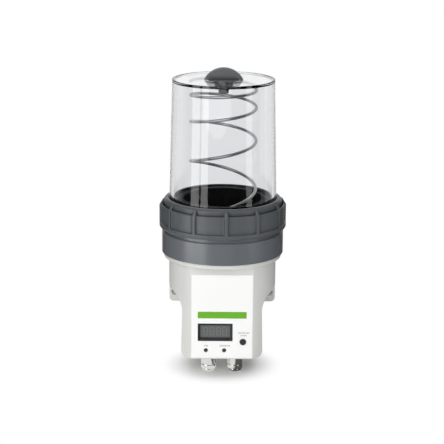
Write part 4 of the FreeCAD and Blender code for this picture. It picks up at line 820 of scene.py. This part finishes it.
def pale_floor(height):
    """A round white floor. Under the object it is matt and takes the shadow. Outwards it fades to plain white
    where a ray shows the background. Gloss sees a floor that is pale on the left and dark on the right close
    by, and further out the room of the world: white behind the object, nearly dark in front."""
    turn = np.linspace(0, 2 * np.pi, 96, endpoint=False)
    reach = np.array((0.0002, 0.02, 0.1, 0.3, 1.0, 4.0, 12.0))
    grid = np.stack((reach[:, None] * np.cos(turn), reach[:, None] * np.sin(turn) + AXIS_Y,
                     np.full((len(reach), len(turn)), height)), -1)
    mesh = surface_mesh("floor", grid[:, ::-1], False, True)
    floor = bpy.data.objects.new("floor", mesh)
    bpy.context.scene.collection.objects.link(floor)
    finish = Finish("floor_paint")
    away = finish.node("ShaderNodeVectorMath", {"operation": "DISTANCE"},
                       {0: finish.place(), 1: (0, AXIS_Y, height)}, output="Value")
    smooth = {"interpolation_type": "SMOOTHSTEP"}
    fade = finish.node("ShaderNodeMapRange", smooth, {"Value": away, "From Min": 0.02, "From Max": 0.052})
    far = finish.node("ShaderNodeMapRange", smooth, {"Value": away, "From Min": 0.12, "From Max": 0.3})
    behind = (finish.along("Y") - AXIS_Y) / away
    back = finish.node("ShaderNodeMapRange", smooth, {"Value": behind, "From Min": 0.86, "From Max": 0.97,
                                                      "To Min": 0.025, "To Max": 1.0})
    shown, gloss = background_seen(finish, behind)
    plain = shown * fade
    mirrored = gloss * (1 - shown)
    matt = finish.node("ShaderNodeBsdfDiffuse", values={"Color": (0.9, 0.9, 0.9)})
    glow = finish.node("ShaderNodeEmission", values={"Color": (1, 1, 1), "Strength": 1.0})
    side = finish.node("ShaderNodeMapRange", smooth, {"Value": finish.along("X") / away, "From Min": 0.2,
                                                      "From Max": 0.4, "To Min": 0.85, "To Max": 0.1})
    strength = side + (back - side) * far
    room = finish.node("ShaderNodeEmission", values={"Color": (1, 1, 1), "Strength": strength})
    near = finish.node("ShaderNodeMixShader", values={0: plain, 1: matt, 2: glow})
    whole = finish.node("ShaderNodeMixShader", values={0: mirrored, 1: near, 2: room})
    mesh.materials.append(finish.shader(whole))
    return floor


def panel(name, azimuth, spread, distance, tall, middle, radiance, gloss=True, through=False):
    """An upright soft panel that spans an angle seen from the axis. Azimuth 0 is in front, positive to the
    right, and the power is the radiance times pi times the area. Its light passes clear plastic where through
    is set."""
    wide = 2 * distance * math.tan(math.radians(spread / 2))
    lamp = bpy.data.lights.new(name, "AREA")
    lamp.shape = "RECTANGLE"
    lamp.size = wide
    lamp.size_y = tall
    lamp.energy = radiance * math.pi * wide * tall
    item = bpy.data.objects.new(name, lamp)
    angle = math.radians(azimuth)
    offset = Vector((math.sin(angle), -math.cos(angle), 0))
    item.location = Vector((0, AXIS_Y, middle)) + offset * distance
    item.rotation_euler = offset.to_track_quat("Z", "Y").to_euler()
    item.visible_camera = False
    item.visible_transmission = through
    item.visible_glossy = gloss
    bpy.context.scene.collection.objects.link(item)
    return item


def camera_in_place(scene, looks):
    """The camera looks at a point on the axis, pitched down and rolled about its own line of sight."""
    cosine, sine = math.cos(looks.pitch), math.sin(looks.pitch)
    ahead = Vector((0, cosine, -sine))
    right = Vector((1, 0, 0))
    up = Vector((0, sine, cosine))
    roll_cos, roll_sin = math.cos(looks.roll), math.sin(looks.roll)
    turned_right = right * roll_cos + up * roll_sin
    turned_up = up * roll_cos - right * roll_sin
    lens = bpy.data.cameras.new("photo_camera")
    lens.lens = looks.lens
    lens.sensor_width = 36
    shift_pixels, picture_wide = -0.684, 444
    lens.shift_x = shift_pixels / picture_wide
    camera = bpy.data.objects.new("photo_camera", lens)
    turned = Matrix((turned_right, turned_up, -ahead)).transposed()
    stand = Vector((0, AXIS_Y, looks.height)) - ahead * looks.distance
    camera.matrix_world = Matrix.Translation(stand) @ turned.to_4x4()
    scene.collection.objects.link(camera)
    scene.camera = camera


class LUBRICATOR_PT_panel(bpy.types.Panel):
    """Buttons for the pieces and the studio"""
    bl_idname = "LUBRICATOR_PT_panel"
    bl_label = "Automatic lubricator"
    bl_space_type = "VIEW_3D"
    bl_region_type = "UI"
    bl_category = "Lubricator"

    def draw(self, context):
        for operator in OPERATORS:
            self.layout.operator(operator.bl_idname)


OPERATORS = (LUBRICATOR_OT_hood, LUBRICATOR_OT_plug, LUBRICATOR_OT_springs, LUBRICATOR_OT_follower,
             LUBRICATOR_OT_nut, LUBRICATOR_OT_housing, LUBRICATOR_OT_label, LUBRICATOR_OT_fittings,
             LUBRICATOR_OT_drive, LUBRICATOR_OT_studio)


def register():
    for name, group in LOOKS:
        bpy.utils.register_class(group)
        setattr(bpy.types.Scene, name, PointerProperty(type=group))
    for item in (*OPERATORS, LUBRICATOR_PT_panel):
        bpy.utils.register_class(item)


def unregister():
    for item in (LUBRICATOR_PT_panel, *reversed(OPERATORS)):
        bpy.utils.unregister_class(item)
    for name, group in reversed(LOOKS):
        delattr(bpy.types.Scene, name)
        bpy.utils.unregister_class(group)


def main():
    register()
    bpy.ops.lubricator.hood()
    bpy.ops.lubricator.plug()
    bpy.ops.lubricator.springs()
    bpy.ops.lubricator.follower()
    bpy.ops.lubricator.nut()
    bpy.ops.lubricator.housing()
    bpy.ops.lubricator.label()
    bpy.ops.lubricator.fittings()
    bpy.ops.lubricator.drive()
    bpy.ops.lubricator.studio()


if __name__ == "__main__":
    main()
